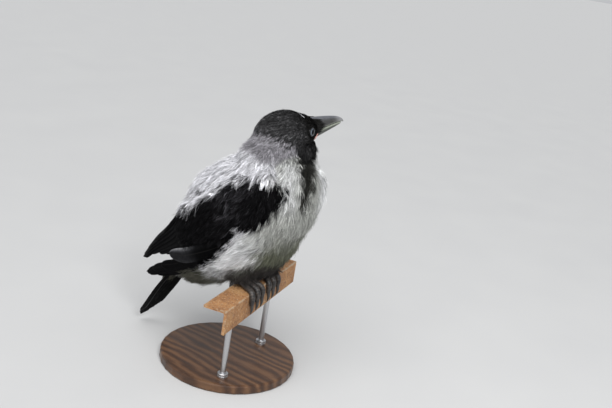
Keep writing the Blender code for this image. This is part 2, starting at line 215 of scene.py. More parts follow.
# the ridge tone is a painted bluish reflection of the sky along the culmen
HORN, PAINTED_RIDGE_REFLECTION, HORN_TIP, HORN_EDGE = (np.array(tone) for tone in (
    (0.038, 0.038, 0.037), (0.085, 0.088, 0.100), (0.27, 0.27, 0.28), (0.20, 0.21, 0.18)))
LOW_HORN, LOW_HORN_TIP, LOW_HORN_EDGE = (np.array(tone) for tone in (
    (0.058, 0.063, 0.052), (0.24, 0.24, 0.21), (0.38, 0.41, 0.34)))

# The skin and its coat ----------------------------------------------------------------------

FLESH = ("trunk", "neck", "head", "thigh_left", "thigh_right", "wing_left", "wing_right")
SKIN_VOXEL = 1.8
UV_TURN = 0.95  # the width of the bake map that a turn round the spine takes
UV_PATCH = 0.003  # the size of a tuft's own patch of it
SPINE_OVER = 45  # how far the coat reaches past each end of the spine
BARB_PITCH = 0.0008  # metres, between the slanting barbs of a flight feather
LEVELS = np.array([0, 1 / 3, 2 / 3, 1])  # of the four places along a tuft
CUBIC = np.linalg.inv(np.vander(LEVELS, 4, increasing=True))
TAPERS = {3: (0.9, 0.85, 0.0), 4: (0.8, 1.0, 0.75, 0.0)}  # a barb's width at its places
ODD_DARK, ODD_BRIGHT = 0.08, 0.94  # a draw below or above these makes a barb an odd one
HEAD_FROM, NECK_FROM = 148, 124  # the heights where the head's and the neck's pieces begin
PAINTED_GLEAM_BELOW = 146  # the height under which black barb tips may get a painted gleam
BRISTLE_ARCH = (19.5, 7.7, 13.2, 5.5)  # how far forward, to each side, up and down they start
BRISTLES, LASHES, CHEEK_TUFTS, SHANK_TUFTS = 2000, 900, 460, 520
FLECKS = (((6, -12, 19.2), (1, -7, 24.2)), ((11.8, -18.0, -1.6), (8.6, -19.0, -1.8)))  # in the head
BARBS = {  # for each kind of coat, the name of its material and its slot
    "down": ("down_barbs", "grey_down"),
    "black": ("black_barbs", "black_feather"),
    "leg": ("down_barbs", "leg_down"),
}


class Look(NamedTuple):
    """How one kind of tuft is built."""

    strands: int  # barbs in a tuft
    half_width: float  # of a barb
    spread: float  # half the tuft's width
    fan: tuple  # that width's share at the root, the middle and the tip
    levels: int  # places along a barb, its tip included
    wander: float  # how far a barb strays sideways
    roll: float  # how much the barbs turn about themselves
    uneven: float  # how much their lengths differ
    contrast: float  # how much their shades differ
    bright: float = 1.3  # how much paler the odd barb is; on the black coat these paler barbs are painted sheen streaks


POINTED, EVEN, FLARED = (0.35, 1.0, 0.4), (0.5, 0.95, 0.95), (0.4, 0.85, 1.4)
BACK_LOOK = Look(13, 0.2, 2.7, POINTED, 4, 0.35, 0.45, 0.3, 0.24)
DOWN_LOOK = Look(12, 0.17, 2.3, EVEN, 4, 0.6, 0.6, 0.4, 0.17)
FLUFF_LOOK = Look(14, 0.15, 2.4, FLARED, 4, 0.9, 0.9, 0.5, 0.1, 1.15)
NECK_LOOK = Look(7, 0.17, 1.0, EVEN, 3, 0.35, 0.6, 0.35, 0.26, 1.6)
# the hood's and the coverts' much paler odd barbs are painted sheen streaks
HEAD_LOOK = Look(7, 0.16, 0.8, POINTED, 3, 0.2, 0.6, 0.3, 0.3, 4.5)
COVERT_LOOK = Look(11, 0.2, 2.2, POINTED, 4, 0.3, 0.35, 0.3, 0.2, 5.0)
SCAPULAR_LOOK = Look(15, 0.2, 2.3, (0.4, 1.0, 0.2), 4, 0.2, 0.35, 0.4, 0.16)
FLECK_LOOK = Look(3, 0.14, 0.35, EVEN, 4, 0.2, 0.4, 0.2, 0.1)
FUZZ_LOOK = Look(10, 0.14, 1.3, FLARED, 4, 0.9, 0.9, 0.5, 0.2, 2.0)
LASH_LOOK = Look(5, 0.12, 0.55, EVEN, 3, 0.15, 0.6, 0.3, 0.25, 2.5)
BRISTLE_LOOK = Look(4, 0.12, 0.5, EVEN, 4, 0.3, 0.6, 0.2, 0.2, 2.0)

# The camera and the studio ------------------------------------------------------------------

CAMERA_PLACE = (464.5, -668.1, 337.0)
CAMERA_AZIMUTH, CAMERA_RISE, CAMERA_ROLL = 32.0, 16.85, 9.4  # degrees
CAMERA_LENS, CAMERA_SENSOR = 50.0, 36
SKY_LIGHT, OVERHEAD_LIGHT, CATCH_LIGHT = 0.55, 2.5, 5
OVERHEAD_WAY, CATCH_PLACE = (0.25, -0.65, 1.0), (700, -500, 700)
FLOOR_RADIUS = 40  # metres


# Small helpers -----------------------------------------------------------------------------


def world(points):
    """Millimetres from the perch point as metres in the CAD frame."""
    return np.asarray(points, float) * MM + PERCH


def local(points):
    return (np.asarray(points, float) - PERCH) / MM


def unit(vectors):
    return vectors / np.maximum(np.linalg.norm(vectors, axis=-1, keepdims=True), 1e-9)


def ramp(low, high, value):
    """0 below low, 1 above high, and a smooth step between."""
    t = np.clip((np.asarray(value, float) - low) / (high - low), 0, 1)
    return t * t * (3 - 2 * t)


def bell(value, centre, width):
    """1 at the centre, falling to 0 on both sides."""
    return np.exp(-(((value - centre) / width) ** 2))


def mixed(a, b, share):
    return a + (b - a) * share


def picker(part):
    """The random draws of one part, the same in every run."""
    return np.random.default_rng(SEED + PICKED.index(part))


def smooth(rows, count):
    """Rows read off a smooth curve through the given ones."""
    rows = np.array(rows, float)
    rows = np.vstack([2 * rows[0] - rows[1], rows, 2 * rows[-1] - rows[-2]])
    place = np.linspace(0, len(rows) - 3, count)
    first = np.minimum(place.astype(int), len(rows) - 4)
    t = (place - first)[:, None]
    a, b, c, d = (rows[first + k] for k in range(4))
    curve = (2 * a - 5 * b + 4 * c - d) * t**2 / 2 + (3 * b - a - 3 * c + d) * t**3 / 2
    return b + (c - a) * t / 2 + curve


def read_edge(place, edge):
    """The height of an edge, given as (place, height) rows, at each place."""
    return np.interp(place, *np.array(edge, float).T)


def run_lengths(path):
    """How far along a line of points each one lies."""
    return np.append(0, np.cumsum(np.linalg.norm(np.diff(path, axis=0), axis=1)))


def placed(name, data):
    """A new object in the scene."""
    thing = bpy.data.objects.new(name, data)
    bpy.context.scene.collection.objects.link(thing)
    return thing


def mesh_piece(name, points, faces, material):
    """A piece of the bird or its stand from points and faces, riding on the one body."""
    mesh = bpy.data.meshes.new(name)
    mesh.from_pydata(world(points).tolist(), [], faces)
    return finish_piece(name, mesh, material)


def finish_piece(name, mesh, material):
    mesh.shade_smooth()
    mesh.materials.append(material)
    piece = placed(name, mesh)
    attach(piece, "root")
    return piece


def outward(piece):
    """Turns a closed piece's faces outwards."""
    work = bmesh.new()
    work.from_mesh(piece.data)
    bmesh.ops.recalc_face_normals(work, faces=work.faces)
    work.to_mesh(piece.data)
    work.free()
    return piece


def point_attribute(mesh, name, values):
    """A value for each point that the materials read: a number, or a colour as (n, 3)."""
    values = np.asarray(values, np.float32)
    if values.ndim == 1:
        attribute = mesh.attributes.new(name, "FLOAT", "POINT")
        attribute.data.foreach_set("value", values)
        return
    attribute = mesh.color_attributes.new(name, "FLOAT_COLOR", "POINT")
    opaque = np.insert(values, 3, 1, axis=1)
    attribute.data.foreach_set("color", opaque.ravel())


def uv_map(mesh, places):
    """The bake map, from each point's place on it, or from each corner's."""
    if len(places) != len(mesh.loops):
        places = places[read(mesh.loops, "vertex_index", kind=np.int32)]
    layer = mesh.uv_layers.new(name="OFBake")
    layer.data.foreach_set("uv", places.astype(np.float32).ravel())


def read(collection, key, width=1, kind=np.float32):
    """One property of every item, as rows where it is wider than one number."""
    values = np.empty(len(collection) * width, kind)
    collection.foreach_get(key, values)
    return values if width == 1 else values.reshape(-1, width)


def ring_faces(rings, sides, first=0, closed=False):
    """Faces that join each ring of points to the next, and the last to the first if closed."""
    faces = []
    for i in range(rings if closed else rings - 1):
        a, b = first + i * sides, first + (i + 1) % rings * sides
        for k in range(sides):
            n = (k + 1) % sides
            faces.append((a + k, a + n, b + n, b + k))
    return faces


def loft(rings, start, end):
    """Points and faces of a skin over rings of points, from one end point to another."""
    count, sides = np.shape(rings)[:2]
    points = np.vstack([start, np.reshape(rings, (-1, 3)), end])
    last = len(points) - 1
    faces = ring_faces(count, sides, 1)
    for k in range(sides):
        n = (k + 1) % sides
        faces += [(0, 1 + n, 1 + k), (last, last - sides + k, last - sides + n)]
    return points, faces


def flat_ended(rings, sides):
    """Faces over rings of points and over their two flat ends."""
    last = (rings - 1) * sides
    ends = [tuple(range(sides))[::-1], tuple(range(last, last + sides))]
    return ends + ring_faces(rings, sides)


def round_rings(path, radii, across, above, sides):
    """A round section at each point of a path, with its own radius and two directions."""
    turn = np.arange(sides) * 2 * math.pi / sides
    way = (np.cos(turn)[:, None] * across[:, None] + np.sin(turn)[:, None] * above[:, None])
    return path[:, None] + radii[:, None, None] * way


def tube(path, radii, sides, hint):
    """Points and faces of a round tube; hint is a direction across all of its path."""
    tangents = unit(np.gradient(path, axis=0))
    across = unit(np.cross(hint, tangents))
    rings = round_rings(path, radii, across, np.cross(tangents, across), sides)
    return loft(rings, path[0], path[-1])


def joined(shapes):
    """Several (points, faces) as one."""
    points, faces = [], []
    for some_points, some_faces in shapes:
        start = len(points)
        points += [tuple(p) for p in some_points]
        faces += [tuple(start + i for i in face) for face in some_faces]
    return np.array(points), faces


# The body's own coordinates -----------------------------------------------------------------

FINE_BODY = smooth(BODY, 240)


def body_row(along, column):
    return np.interp(along, FINE_BODY[:, ALONG], FINE_BODY[:, column])


def body_axis(along):
    """The axis's x and z and its direction; it runs on straight past the tail's root."""
    step = 4
    inside = np.clip(along, BODY[0][ALONG], BODY[-1][ALONG] - step)
    x, z = body_row(inside, AXIS_X), body_row(inside, AXIS_Z)
    run, rise = body_row(inside + step, AXIS_X) - x, body_row(inside + step, AXIS_Z) - z
    length = np.hypot(run, rise)
    run, rise = run / length, rise / length
    past = along - inside
    return x + past * run, z + past * rise, run, rise


def wing_point(along, angle, lift, side):
    """A point over the surface on which a folded wing lies; side is 1 on the left."""
    along, angle, lift = np.broadcast_arrays(np.asarray(along, float), angle, lift)
    x, z, run, rise = body_axis(along)
    sine, cosine = np.sin(np.radians(angle)), np.cos(np.radians(angle))
    reach = np.where(angle > 0, body_row(along, WING_BACK), body_row(along, UNDER)) + lift
    return np.stack([x - rise * reach * sine, side * (body_row(along, WING_WIDTH) + lift) * cosine,
                     z + run * reach * sine], -1)


def body_place(points):
    """Each point's place along the body and its angle up from the side."""
    gaps = ((points[:, 0, None] - FINE_BODY[:, AXIS_X]) ** 2
            + (points[:, 2, None] - FINE_BODY[:, AXIS_Z]) ** 2)
    along = FINE_BODY[gaps.argmin(1), ALONG]
    x, z, run, rise = body_axis(along)
    up = (points[:, 2] - z) * run - (points[:, 0] - x) * rise
    reach = np.where(up > 0, body_row(along, WING_BACK), body_row(along, UNDER))
    sideways = np.abs(points[:, 1]) / body_row(along, WING_WIDTH)
    return along, np.degrees(np.arctan2(up / reach, sideways))


HEAD_MATRIX = (Matrix.Translation(HEAD_PLACE) @ Matrix.Rotation(math.radians(HEAD_TURN), 4, "Z")
               @ Matrix.Rotation(math.radians(-HEAD_LIFT), 4, "Y"))
HEAD_TURNED = np.array(HEAD_MATRIX.to_3x3())


def from_head(points):
    return np.asarray(points, float) @ HEAD_TURNED.T + np.array(HEAD_PLACE, float)


def in_head(points):
    return (np.asarray(points, float) - np.array(HEAD_PLACE, float)) @ HEAD_TURNED


def eye_centres():
    x, y, z = EYE_PLACE
    return from_head([(x, y, z), (x, -y, z)])


def eye_axes():
    """For the left and the right eye: its centre, its axis, and two directions across that."""
    aim = EYE_AIM / np.linalg.norm(EYE_AIM)
    for (_, side), centre in zip(SIDES, eye_centres()):
        axis = HEAD_TURNED @ (aim * (1, side, 1))
        across = unit(np.cross(axis, (0.0, 0.0, 1.0)))
        yield centre, axis, across, np.cross(across, axis)


# Materials -----------------------------------------------------------------------------------


class Nodes:
    """A material's node tree, with each node added in one line."""

    def __init__(self, name):
        self.material = bpy.data.materials.new(name)
        self.material.use_nodes = True
        self.tree = self.material.node_tree
        self.shader = self.tree.nodes["Principled BSDF"]

    def add(self, kind, settings=None, **inputs):
        node = self.tree.nodes.new("ShaderNode" + kind)
        for key, value in (settings or {}).items():
            setattr(node, key, value)
        for key, value in inputs.items():
            self.put(node, key.replace("_", " "), value)
        return node

    def put(self, node, key, value):
        """Links a socket's value, or sets a number or a colour."""
        socket = node.inputs[key]
        if isinstance(value, bpy.types.NodeSocket):
            self.tree.links.new(value, socket)
        else:
            socket.default_value = (*value, 1) if socket.type == "RGBA" else value

    def finish(self, **inputs):
        for key, value in inputs.items():
            self.put(self.shader, key.replace("_", " "), value)
        return self.material

    def grained(self, colour, grain, rough, relief, depth=0.0002, **inputs):
        """Finishes with a roughness and a fine relief that follow the grain."""
        return self.finish(Base_Color=colour, Roughness=self.swing(grain, *rough),
                           Normal=self.bump(grain, relief, depth), **inputs)

    def tint(self):
        return self.add("Attribute", {"attribute_name": "tint"}).outputs["Color"]

    def attribute(self, name):
        return self.add("Attribute", {"attribute_name": name}).outputs["Fac"]

    def place(self, stretch=None):
        """Where a point lies, in metres, each direction scaled by its number in stretch."""
        place = self.add("NewGeometry").outputs["Position"]
        if stretch:
            place = self.add("Mapping", Vector=place, Scale=stretch).outputs["Vector"]
        return place

    def noise(self, scale, detail=4.0, roughness=0.5, stretch=None):
        return self.add("TexNoise", Vector=self.place(stretch), Scale=scale, Detail=detail,
                        Roughness=roughness).outputs["Fac"]

    def ramp(self, value, *stops):
        """A colour ramp; a stop is (place, colour)."""
        node = self.add("ValToRGB", Fac=value)
        while len(node.color_ramp.elements) < len(stops):
            node.color_ramp.elements.new(0.5)
        for element, (place, colour) in zip(node.color_ramp.elements, stops):
            element.position, element.color = place, (*colour, 1)
        return node.outputs["Color"]

    def span(self, value, low, high, to_low=0.0, to_high=1.0):
        return self.add("MapRange", Value=value, From_Min=low, From_Max=high, To_Min=to_low,
                        To_Max=to_high).outputs["Result"]

    def swing(self, noise, low, high):
        """A noise, most of which lies between 0.3 and 0.7, spread from low to high."""
        return self.span(noise, 0.3, 0.7, low, high)

    def math(self, operation, a, b=0.0):
        node = self.add("Math", {"operation": operation})
        self.put(node, 0, a)
        self.put(node, 1, b)
        return node.outputs["Value"]

    def sum(self, a, b):
        return self.math("ADD", a, b)

    def times(self, a, b):
        return self.math("MULTIPLY", a, b)

    def mix(self, share, a, b, blend="MIX"):
        node = self.add("Mix", {"data_type": "RGBA", "blend_type": blend})
        for key, value in ((0, share), (6, a), (7, b)):
            self.put(node, key, value)
        return node.outputs[2]

    def shaded(self, colour, shade):
        return self.mix(1.0, colour, shade, "MULTIPLY")

    def bump(self, height, strength, distance):
        return self.add("Bump", Height=height, Strength=strength,
                        Distance=distance).outputs["Normal"]


def strand_material(name, roughness, gloss, sheen, contrast):
    """Down or feather barbs: the tint of each tuft with fine streaks along the body."""
    nodes = Nodes(name)
    fine, broad = nodes.noise(1400, 2), nodes.noise(160, 3)
    shade = nodes.sum(nodes.swing(fine, 1 - contrast, 1 + contrast),
                       nodes.swing(broad, -0.08, 0.08))
    return nodes.finish(Base_Color=nodes.shaded(nodes.tint(), shade),
                        Roughness=nodes.swing(broad, roughness - 0.06, roughness + 0.06),
                        Specular_IOR_Level=gloss, Sheen_Weight=sheen, Sheen_Roughness=0.4)


def skin_material():
    nodes = Nodes("skin_under_coat")
    speckle = nodes.noise(900, 5, 0.65)
    colour = nodes.shaded(nodes.tint(), nodes.swing(speckle, 0.55, 1.05))
    return nodes.grained(colour, speckle, (0.75, 0.95), 0.5, 0.0006)


def vane_material():
    """Flight feathers: a shaft, slanting barbs and a paler rim, from each vane's places; the rim is wear on
    most feathers and a painted highlight on the sheen feather's upper edge.
    """
    nodes = Nodes("flight_feather")
    away = nodes.math("ABSOLUTE", nodes.attribute("across"))
    slant = nodes.math("SUBTRACT", nodes.attribute("along"), nodes.times(away, 0.006))
    barbs = nodes.math("SINE", nodes.times(slant, 2 * math.pi / BARB_PITCH))
    break_up, clumps = nodes.noise(700, 3), nodes.noise(260, 4, 0.6)
    lines = nodes.times(barbs, nodes.span(break_up, 0.35, 0.65, 0.1, 1.0))
    shaft = nodes.span(away, 0.02, 0.06, 1.0, 0.0)
    shade = nodes.sum(nodes.span(lines, -1, 1, 0.75, 1.3), nodes.swing(clumps, -0.35, 0.4))
    colour = nodes.shaded(nodes.tint(), shade)
    colour = nodes.mix(nodes.times(shaft, 0.5), colour, (0.02, 0.019, 0.018))
    # the rim's paleness is wear, but on the sheen feather's upper edge it is a painted highlight
    worn = nodes.times(nodes.attribute("rim"), nodes.span(clumps, 0.3, 0.6, 0.3, 1.0))
    colour = nodes.mix(worn, colour, (0.42, 0.42, 0.43))
    height = nodes.sum(nodes.times(lines, 0.3), nodes.times(shaft, 2.0))
    return nodes.finish(Base_Color=colour, Roughness=nodes.swing(break_up, 0.42, 0.6),
                        Normal=nodes.bump(height, 0.35, 0.0001), Specular_IOR_Level=0.012)


def two_tone(name, noise, dark, pale, rough, relief, depth=0.0002, **inputs):
    """A material that one noise turns from dark to pale, smooth to rough and low to high."""
    nodes = Nodes(name)
    grain = nodes.noise(*noise)
    return nodes.grained(nodes.mix(grain, dark, pale), grain, rough, relief, depth, **inputs)


# Markings ------------------------------------------------------------------------------------


def wave(points, size, seed):
    """A smooth random value in each place, between -1 and 1."""
    pick = np.random.default_rng(seed)
    turns = pick.normal(size=(6, 3)) / size
    starts = pick.random(6) * 2 * math.pi
    return np.sin(points @ turns.T * 2 * math.pi / 2.2 + starts).mean(1) * 1.6


def line_distance(points, line):
    """How far each point lies from a line of straight stretches."""
    line = np.array(line, float)
    nearest = np.full(len(points), np.inf)
    for a, b in zip(line[:-1], line[1:]):
        t = np.clip((points - a) @ (b - a) / ((b - a) @ (b - a)), 0, 1)
        nearest = np.minimum(nearest, np.linalg.norm(points - a - t[:, None] * (b - a), axis=1))
    return nearest


def crease_share(points):
    """For each crease, 1 in its middle and 0 outside."""
    shares = []
    for line, width, _, both in CREASES:
        away = line_distance(points, line)
        if both:
            away = np.minimum(away, line_distance(points * (1, -1, 1), line))
        shares.append(bell(away, 0, width))
    return shares


def body_azimuth(points):
    """Each point's direction from the neck's axis, in degrees to the left of forward."""
    x, y = NECK_AXIS
    return np.degrees(np.arctan2(points[:, 1] - y, points[:, 0] - x))


def wing_share(points):
    """How far inside the black of the folded wings each point lies.

    The measure is degrees from the upper and lower edge, and mm from the front one."""
    along, angle = body_place(points)
    over = read_edge(along, GREY_OVER_WING) - angle
    under = angle - read_edge(along, GREY_UNDER_WING)
    inside = np.minimum(np.minimum(over, under), WING_FRONT - along)
    return np.where(along < WING_REAR, -5, inside)


def hood_share(points):
    """How far above the hood's lower edge each point lies."""
    return points[:, 2] - read_edge(body_azimuth(points), HOOD_EDGE)


def bib_share(points):
    """1 in the middle of the dark bib under the throat, and 0 outside it."""
    x, _, z = points.T
    azimuth = body_azimuth(points) + mixed(20, 14, ramp(112, 130, z))
    return bell(azimuth, 0, mixed(6.5, 15, ramp(108, 142, z))) * ramp(94, 116, z) * ramp(0, 12, x)


def flank_hem(along):
    """How many degrees further under the body the flank's white fluff reaches at its rear."""
    return 14 * ramp(88, 72, along) + 9 * ramp(72, 60, along)


def pale_colour(points):
    """The coat's colour at each place, but for the black of the hood, the bib and the wings; it includes
    painted shade and green reflected light on the breast and belly, and painted shade in two creases.
    """
    along, angle = body_place(points)
    azimuth, hem = body_azimuth(points), flank_hem(along)
    x, _, z = points.T
    noise = wave(points, 26, 3) * 0.6 + wave(points, 9, 4) * 0.4
    rear = along + np.clip(1.6 * (-angle - 33), 0, 20)
    dapple = ramp(-0.1, 0.5, wave(points, 7, 9)), ramp(0.1, 0.5, wave(points, 8, 9))
    neck_edge = 138 + 10 * ramp(-60, -30, azimuth) + noise * 3
    shoulder, _, nape = crease_share(points)
    layers = (
        # painted shade and green reflected light on the breast, over its grey-white
        (BREAST_GREY_AND_SHADE, ramp(24, 38, -angle) * ramp(90, 120, along)),
        (BREAST_GREY_AND_SHADE, ramp(20, 42, x)),
        (FLANK, ramp(26, 36, -angle) * ramp(150, 120, along) * ramp(64, 50, -angle - hem)),
        (FLANK, ramp(-4, 16, azimuth) * ramp(92, 108, z) * ramp(30, 40, x) * 0.9),
        (FLANK, bell(azimuth, -40, 11) * ramp(92, 112, z) * ramp(146, 134, z) * 0.75),
        # painted shade and green reflected light under the belly
        (BELLY_GREY_SHADE_AND_BOUNCE, ramp(44, 62, -angle - hem + noise * 9) * ramp(164, 128, along) * 0.95),
        (UNDERTAIL, ramp(76, 66, rear) * ramp(12, 28, -angle)),
        (MANTLE * 0.6, dapple[0] * ramp(56, 46, along) * ramp(20, 32, -angle) * 0.75),
        (UNDERTAIL, ramp(72, 60, along) * ramp(62, 45, angle)),
        (MANTLE * 0.7, dapple[1] * ramp(34, 20, along) * ramp(-10, 0, along) * 0.8),
        (NECK_GREY, ramp(neck_edge - 3, neck_edge + 4, z)),
        # painted shade in the shoulder and nape creases
        (PAINTED_CREASE_SHADE, np.maximum(shoulder, nape) * 0.9),
        (TAIL_BLACK, ramp(4, -12, along) * ramp(-24, -8, angle)),
        (FUZZ, ramp(33, 23, z - 0.45 * x + noise * 5) * ramp(-24, -13, x) * ramp(46, 32, x)),
    )
    colour = np.tile(MANTLE, (len(points), 1))
    for tone, share in layers:
        colour = mixed(colour, tone, share[:, None])
    return colour * (0.9 + 0.22 * wave(points, 5, 5))[:, None]


def markings(points, jitter=0.0):
    """The coat's colour at each place, and how black it is, from 0 to 1.

    Jitter mixes the edges of the black, in mm."""
    along, angle = body_place(points)
    ragged = 3.2 * wave(points, 7, 7)
    tongues = wave(np.column_stack([along / 4, angle, 0 * angle]), 4, 8)
    tongues = np.where(tongues > 0, 18, 6) * tongues * ramp(0, 20, angle)
    spill = 1.3 * np.clip(jitter, -2, 2) + 0.7 * ragged + tongues
    wing = ramp(-1.5, 1.5, wing_share(points) + spill)
    hood = ramp(-4, 4, hood_share(points) + 1.7 * jitter + 0.5 * ragged)
    fray = jitter * 0.07 + 0.2 * wave(points, 6, 6)
    bib = ramp(0.25, 0.62, bib_share(points) + fray) * 0.98
    black = np.maximum(np.maximum(wing, hood), bib)
    height = points[:, 2:]
    # the hood's black is paler towards the back of the head: partly painted sheen
    crown = mixed(CROWN_BLACK_AND_SHEEN, FACE_BLACK, ramp(-6, 10, in_head(points)[:, :1]))
    tone = mixed(THROAT, crown, ramp(140, 158, height))
    tone = mixed(BIB, tone, ramp(132, 144, height))
    tone = np.where((wing > 0.5)[:, None], WING_BLACK, tone)
    return mixed(pale_colour(points), tone, black[:, None]), black


# The skin -------------------------------------------------------------------------------------


def coat_depth(points):
    """How deep the skin lies under the outline of the coat."""
    x, _, z = points.T
    face = ramp(150, 166, z)
    depth = mixed(5.2, 3.0, face)
    depth = mixed(depth, 1.6, ramp(2, 14, in_head(points)[:, 0]) * face)
    leg = ramp(22, 10, z) * ramp(-30, -20, x)
    rear = ramp(30, 5, body_place(points)[0])
    depth = mixed(mixed(depth, 2.6, leg), 2.6, rear)
    for centre in eye_centres():
        depth = mixed(depth, 0.8, ramp(14, 9, np.linalg.norm(points - centre, axis=1)))
    return depth


def hollow_depth(points):
    """How much deeper the coat lies at its creases, the throat, the breast's foot and the vent.

    It lies less deep where the turned head pushes the nape out."""
    along, angle = body_place(points)
    azimuth = body_azimuth(points)
    x, _, z = points.T
    deep = sum(share * crease[2] for share, crease in zip(crease_share(points), CREASES))
    deep += 5.0 * bell(azimuth, 25, 50) * ramp(118, 132, z) * ramp(152, 144, z)
    deep += 3.0 * bell(azimuth, 20, 55) * ramp(100, 78, z) * ramp(35, 50, z)
    deep += 4.5 * bell(azimuth, 10, 60) * ramp(74, 58, z) * ramp(22, 40, z) * ramp(20, 34, x)
    deep += 4.5 * ramp(15, 35, -angle) * ramp(82, 55, along) * ramp(-20, 0, along)
    return deep - 4.0 * bell(azimuth, -125, 35) * bell(z, 136, 9)


def slender_rear(points):
    """Draws the skin in towards the body's axis where the tail feathers root."""
    along, _ = body_place(points)
    x, z, _, _ = body_axis(along)
    axis = np.column_stack([x, 0 * x, z])
    return axis + (points - axis) * (1 - 0.6 * ramp(24, -6, along))[:, None]


def flesh_mesh():
    """One closed mesh round the nodes of flesh, each grown a little so that their gaps close."""
    whole = bmesh.new()
    for name in FLESH:
        part = bmesh.new()
        part.from_mesh(frame["nodes"][name].data)
        bmesh.ops.remove_doubles(part, verts=part.verts, dist=0.02 * MM)
        part.normal_update()
        grown = [v.co + v.normal * 0.5 * MM for v in part.verts]
        for vertex, place in zip(part.verts, grown):
            vertex.co = place
        spare = bpy.data.meshes.new("spare")
        part.to_mesh(spare)
        part.free()
        whole.from_mesh(spare)
        bpy.data.meshes.remove(spare)
    mesh = bpy.data.meshes.new("skin")
    whole.to_mesh(mesh)
    whole.free()
    holder = placed("flesh", mesh)
    remesh = holder.modifiers.new("remesh", "REMESH")
    remesh.mode, remesh.voxel_size = "VOXEL", SKIN_VOXEL * MM
    relax = holder.modifiers.new("relax", "SMOOTH")
    relax.factor, relax.iterations = 0.5, 14
    depsgraph = bpy.context.evaluated_depsgraph_get()
    result = bpy.data.meshes.new_from_object(holder.evaluated_get(depsgraph))
    bpy.data.objects.remove(holder)
    return result


class Skin:
    """The bird's skin: its piece, and the arrays that the coat grows from."""

    def __init__(self):
        mesh = flesh_mesh()
        places = local(read(mesh.vertices, "co", 3).astype(float))
        normals = read(mesh.vertex_normals, "vector", 3)
        places -= normals * (coat_depth(places) + hollow_depth(places))[:, None]
        self.points = slender_rear(places)
        mesh.vertices.foreach_set("co", world(self.points).astype(np.float32).ravel())
        mesh.update()
        self.normals = read(mesh.vertex_normals, "vector", 3).astype(float)
        mesh.calc_loop_triangles()
        self.triangles = read(mesh.loop_triangles, "vertices", 3, np.int32)
        corners = self.points[self.triangles]
        a, b, c = corners.transpose(1, 0, 2)
        self.areas = np.linalg.norm(np.cross(b - a, c - a), axis=1) / 2
        self.centres = corners.mean(1)
        self.tree = BVHTree.FromPolygons(self.points.tolist(), self.triangles.tolist())
        self.make_piece(mesh)

    def make_piece(self, mesh):
        colour, black = markings(self.points)
        point_attribute(mesh, "tint", colour * mixed(0.62, 0.8, black)[:, None])
        places = unwrapped(self.points)[read(mesh.loops, "vertex_index", kind=np.int32)]
        starts = read(mesh.polygons, "loop_start", kind=np.int32)
        high = np.maximum.reduceat(places[:, 0], starts)
        counts = np.diff(np.append(starts, len(places)))
        wraps = np.repeat(high, counts) - places[:, 0] > 0.5
        places[wraps, 0] += UV_TURN
        uv_map(mesh, places)
        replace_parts(finish_piece("skin", mesh, skin_material()), *FLESH)

    def on(self, points):
        """The nearest places on the skin, with its normals there."""
        found = [self.tree.find_nearest(p) for p in points.tolist()]
        places = np.array([f[0] for f in found])
        normals = unit(self.normals[self.triangles[[f[2] for f in found]]].mean(1))
        return places, normals

    def scatter(self, density, pick):
        """Roots spread over the skin, density of them per square millimetre."""
        total = np.floor(np.cumsum(density * self.areas) + pick.random()).astype(int)
        index = np.repeat(np.arange(len(self.areas)), np.diff(total, prepend=0))
        a, b = pick.random((2, len(index)))
        over = a + b > 1
        a[over], b[over] = 1 - a[over], 1 - b[over]
        weights = np.stack([1 - a - b, a, b], 1)[:, :, None]
        corners = self.triangles[index]
        normals = unit((self.normals[corners] * weights).sum(1))
        return (self.points[corners] * weights).sum(1), normals


def spine_line():
    """A curve from the tail's root through the trunk and neck into the head."""
    x, z = FINE_BODY[8:208:28, AXIS_X], FINE_BODY[8:208:28, AXIS_Z]
    body = np.column_stack([x, 0 * x, z])
    x, y, z = HEAD_PLACE
    nape = (9, 2, 150)
    return smooth([*body, nape, (x, y, z + 4)], 150)


def unwrapped(points):
    """The skin unrolled along the spine: turns round it across, and the way to the head up."""
    line = spine_line()
    lengths = run_lengths(line)
    tangents = unit(np.gradient(line, axis=0))
    nearest = np.empty(len(points), int)
    batch = 20000
    for start in range(0, len(points), batch):
        some = slice(start, start + batch)
        nearest[some] = ((points[some, None] - line) ** 2).sum(-1).argmin(1)
    offset, tangent = points - line[nearest], tangents[nearest]
    above = unit(np.cross(tangent, (0.0, 1.0, 0.0)))
    turn = np.arctan2(offset[:, 1], (offset * above).sum(1)) / (2 * math.pi) + 0.5
    height = lengths[nearest] + (offset * tangent).sum(1) + SPINE_OVER
    height /= lengths[-1] + 2 * SPINE_OVER
    return np.column_stack([0.01 + turn * UV_TURN, np.clip(height, 0.002, 0.998)])


# The coat ---------------------------------------------------------------------------------------


def leg_share(points, low=22, high=10):
    """1 on the feathered legs and 0 above them."""
    return ramp(low, high, points[:, 2]) * ramp(-30, -15, points[:, 0])


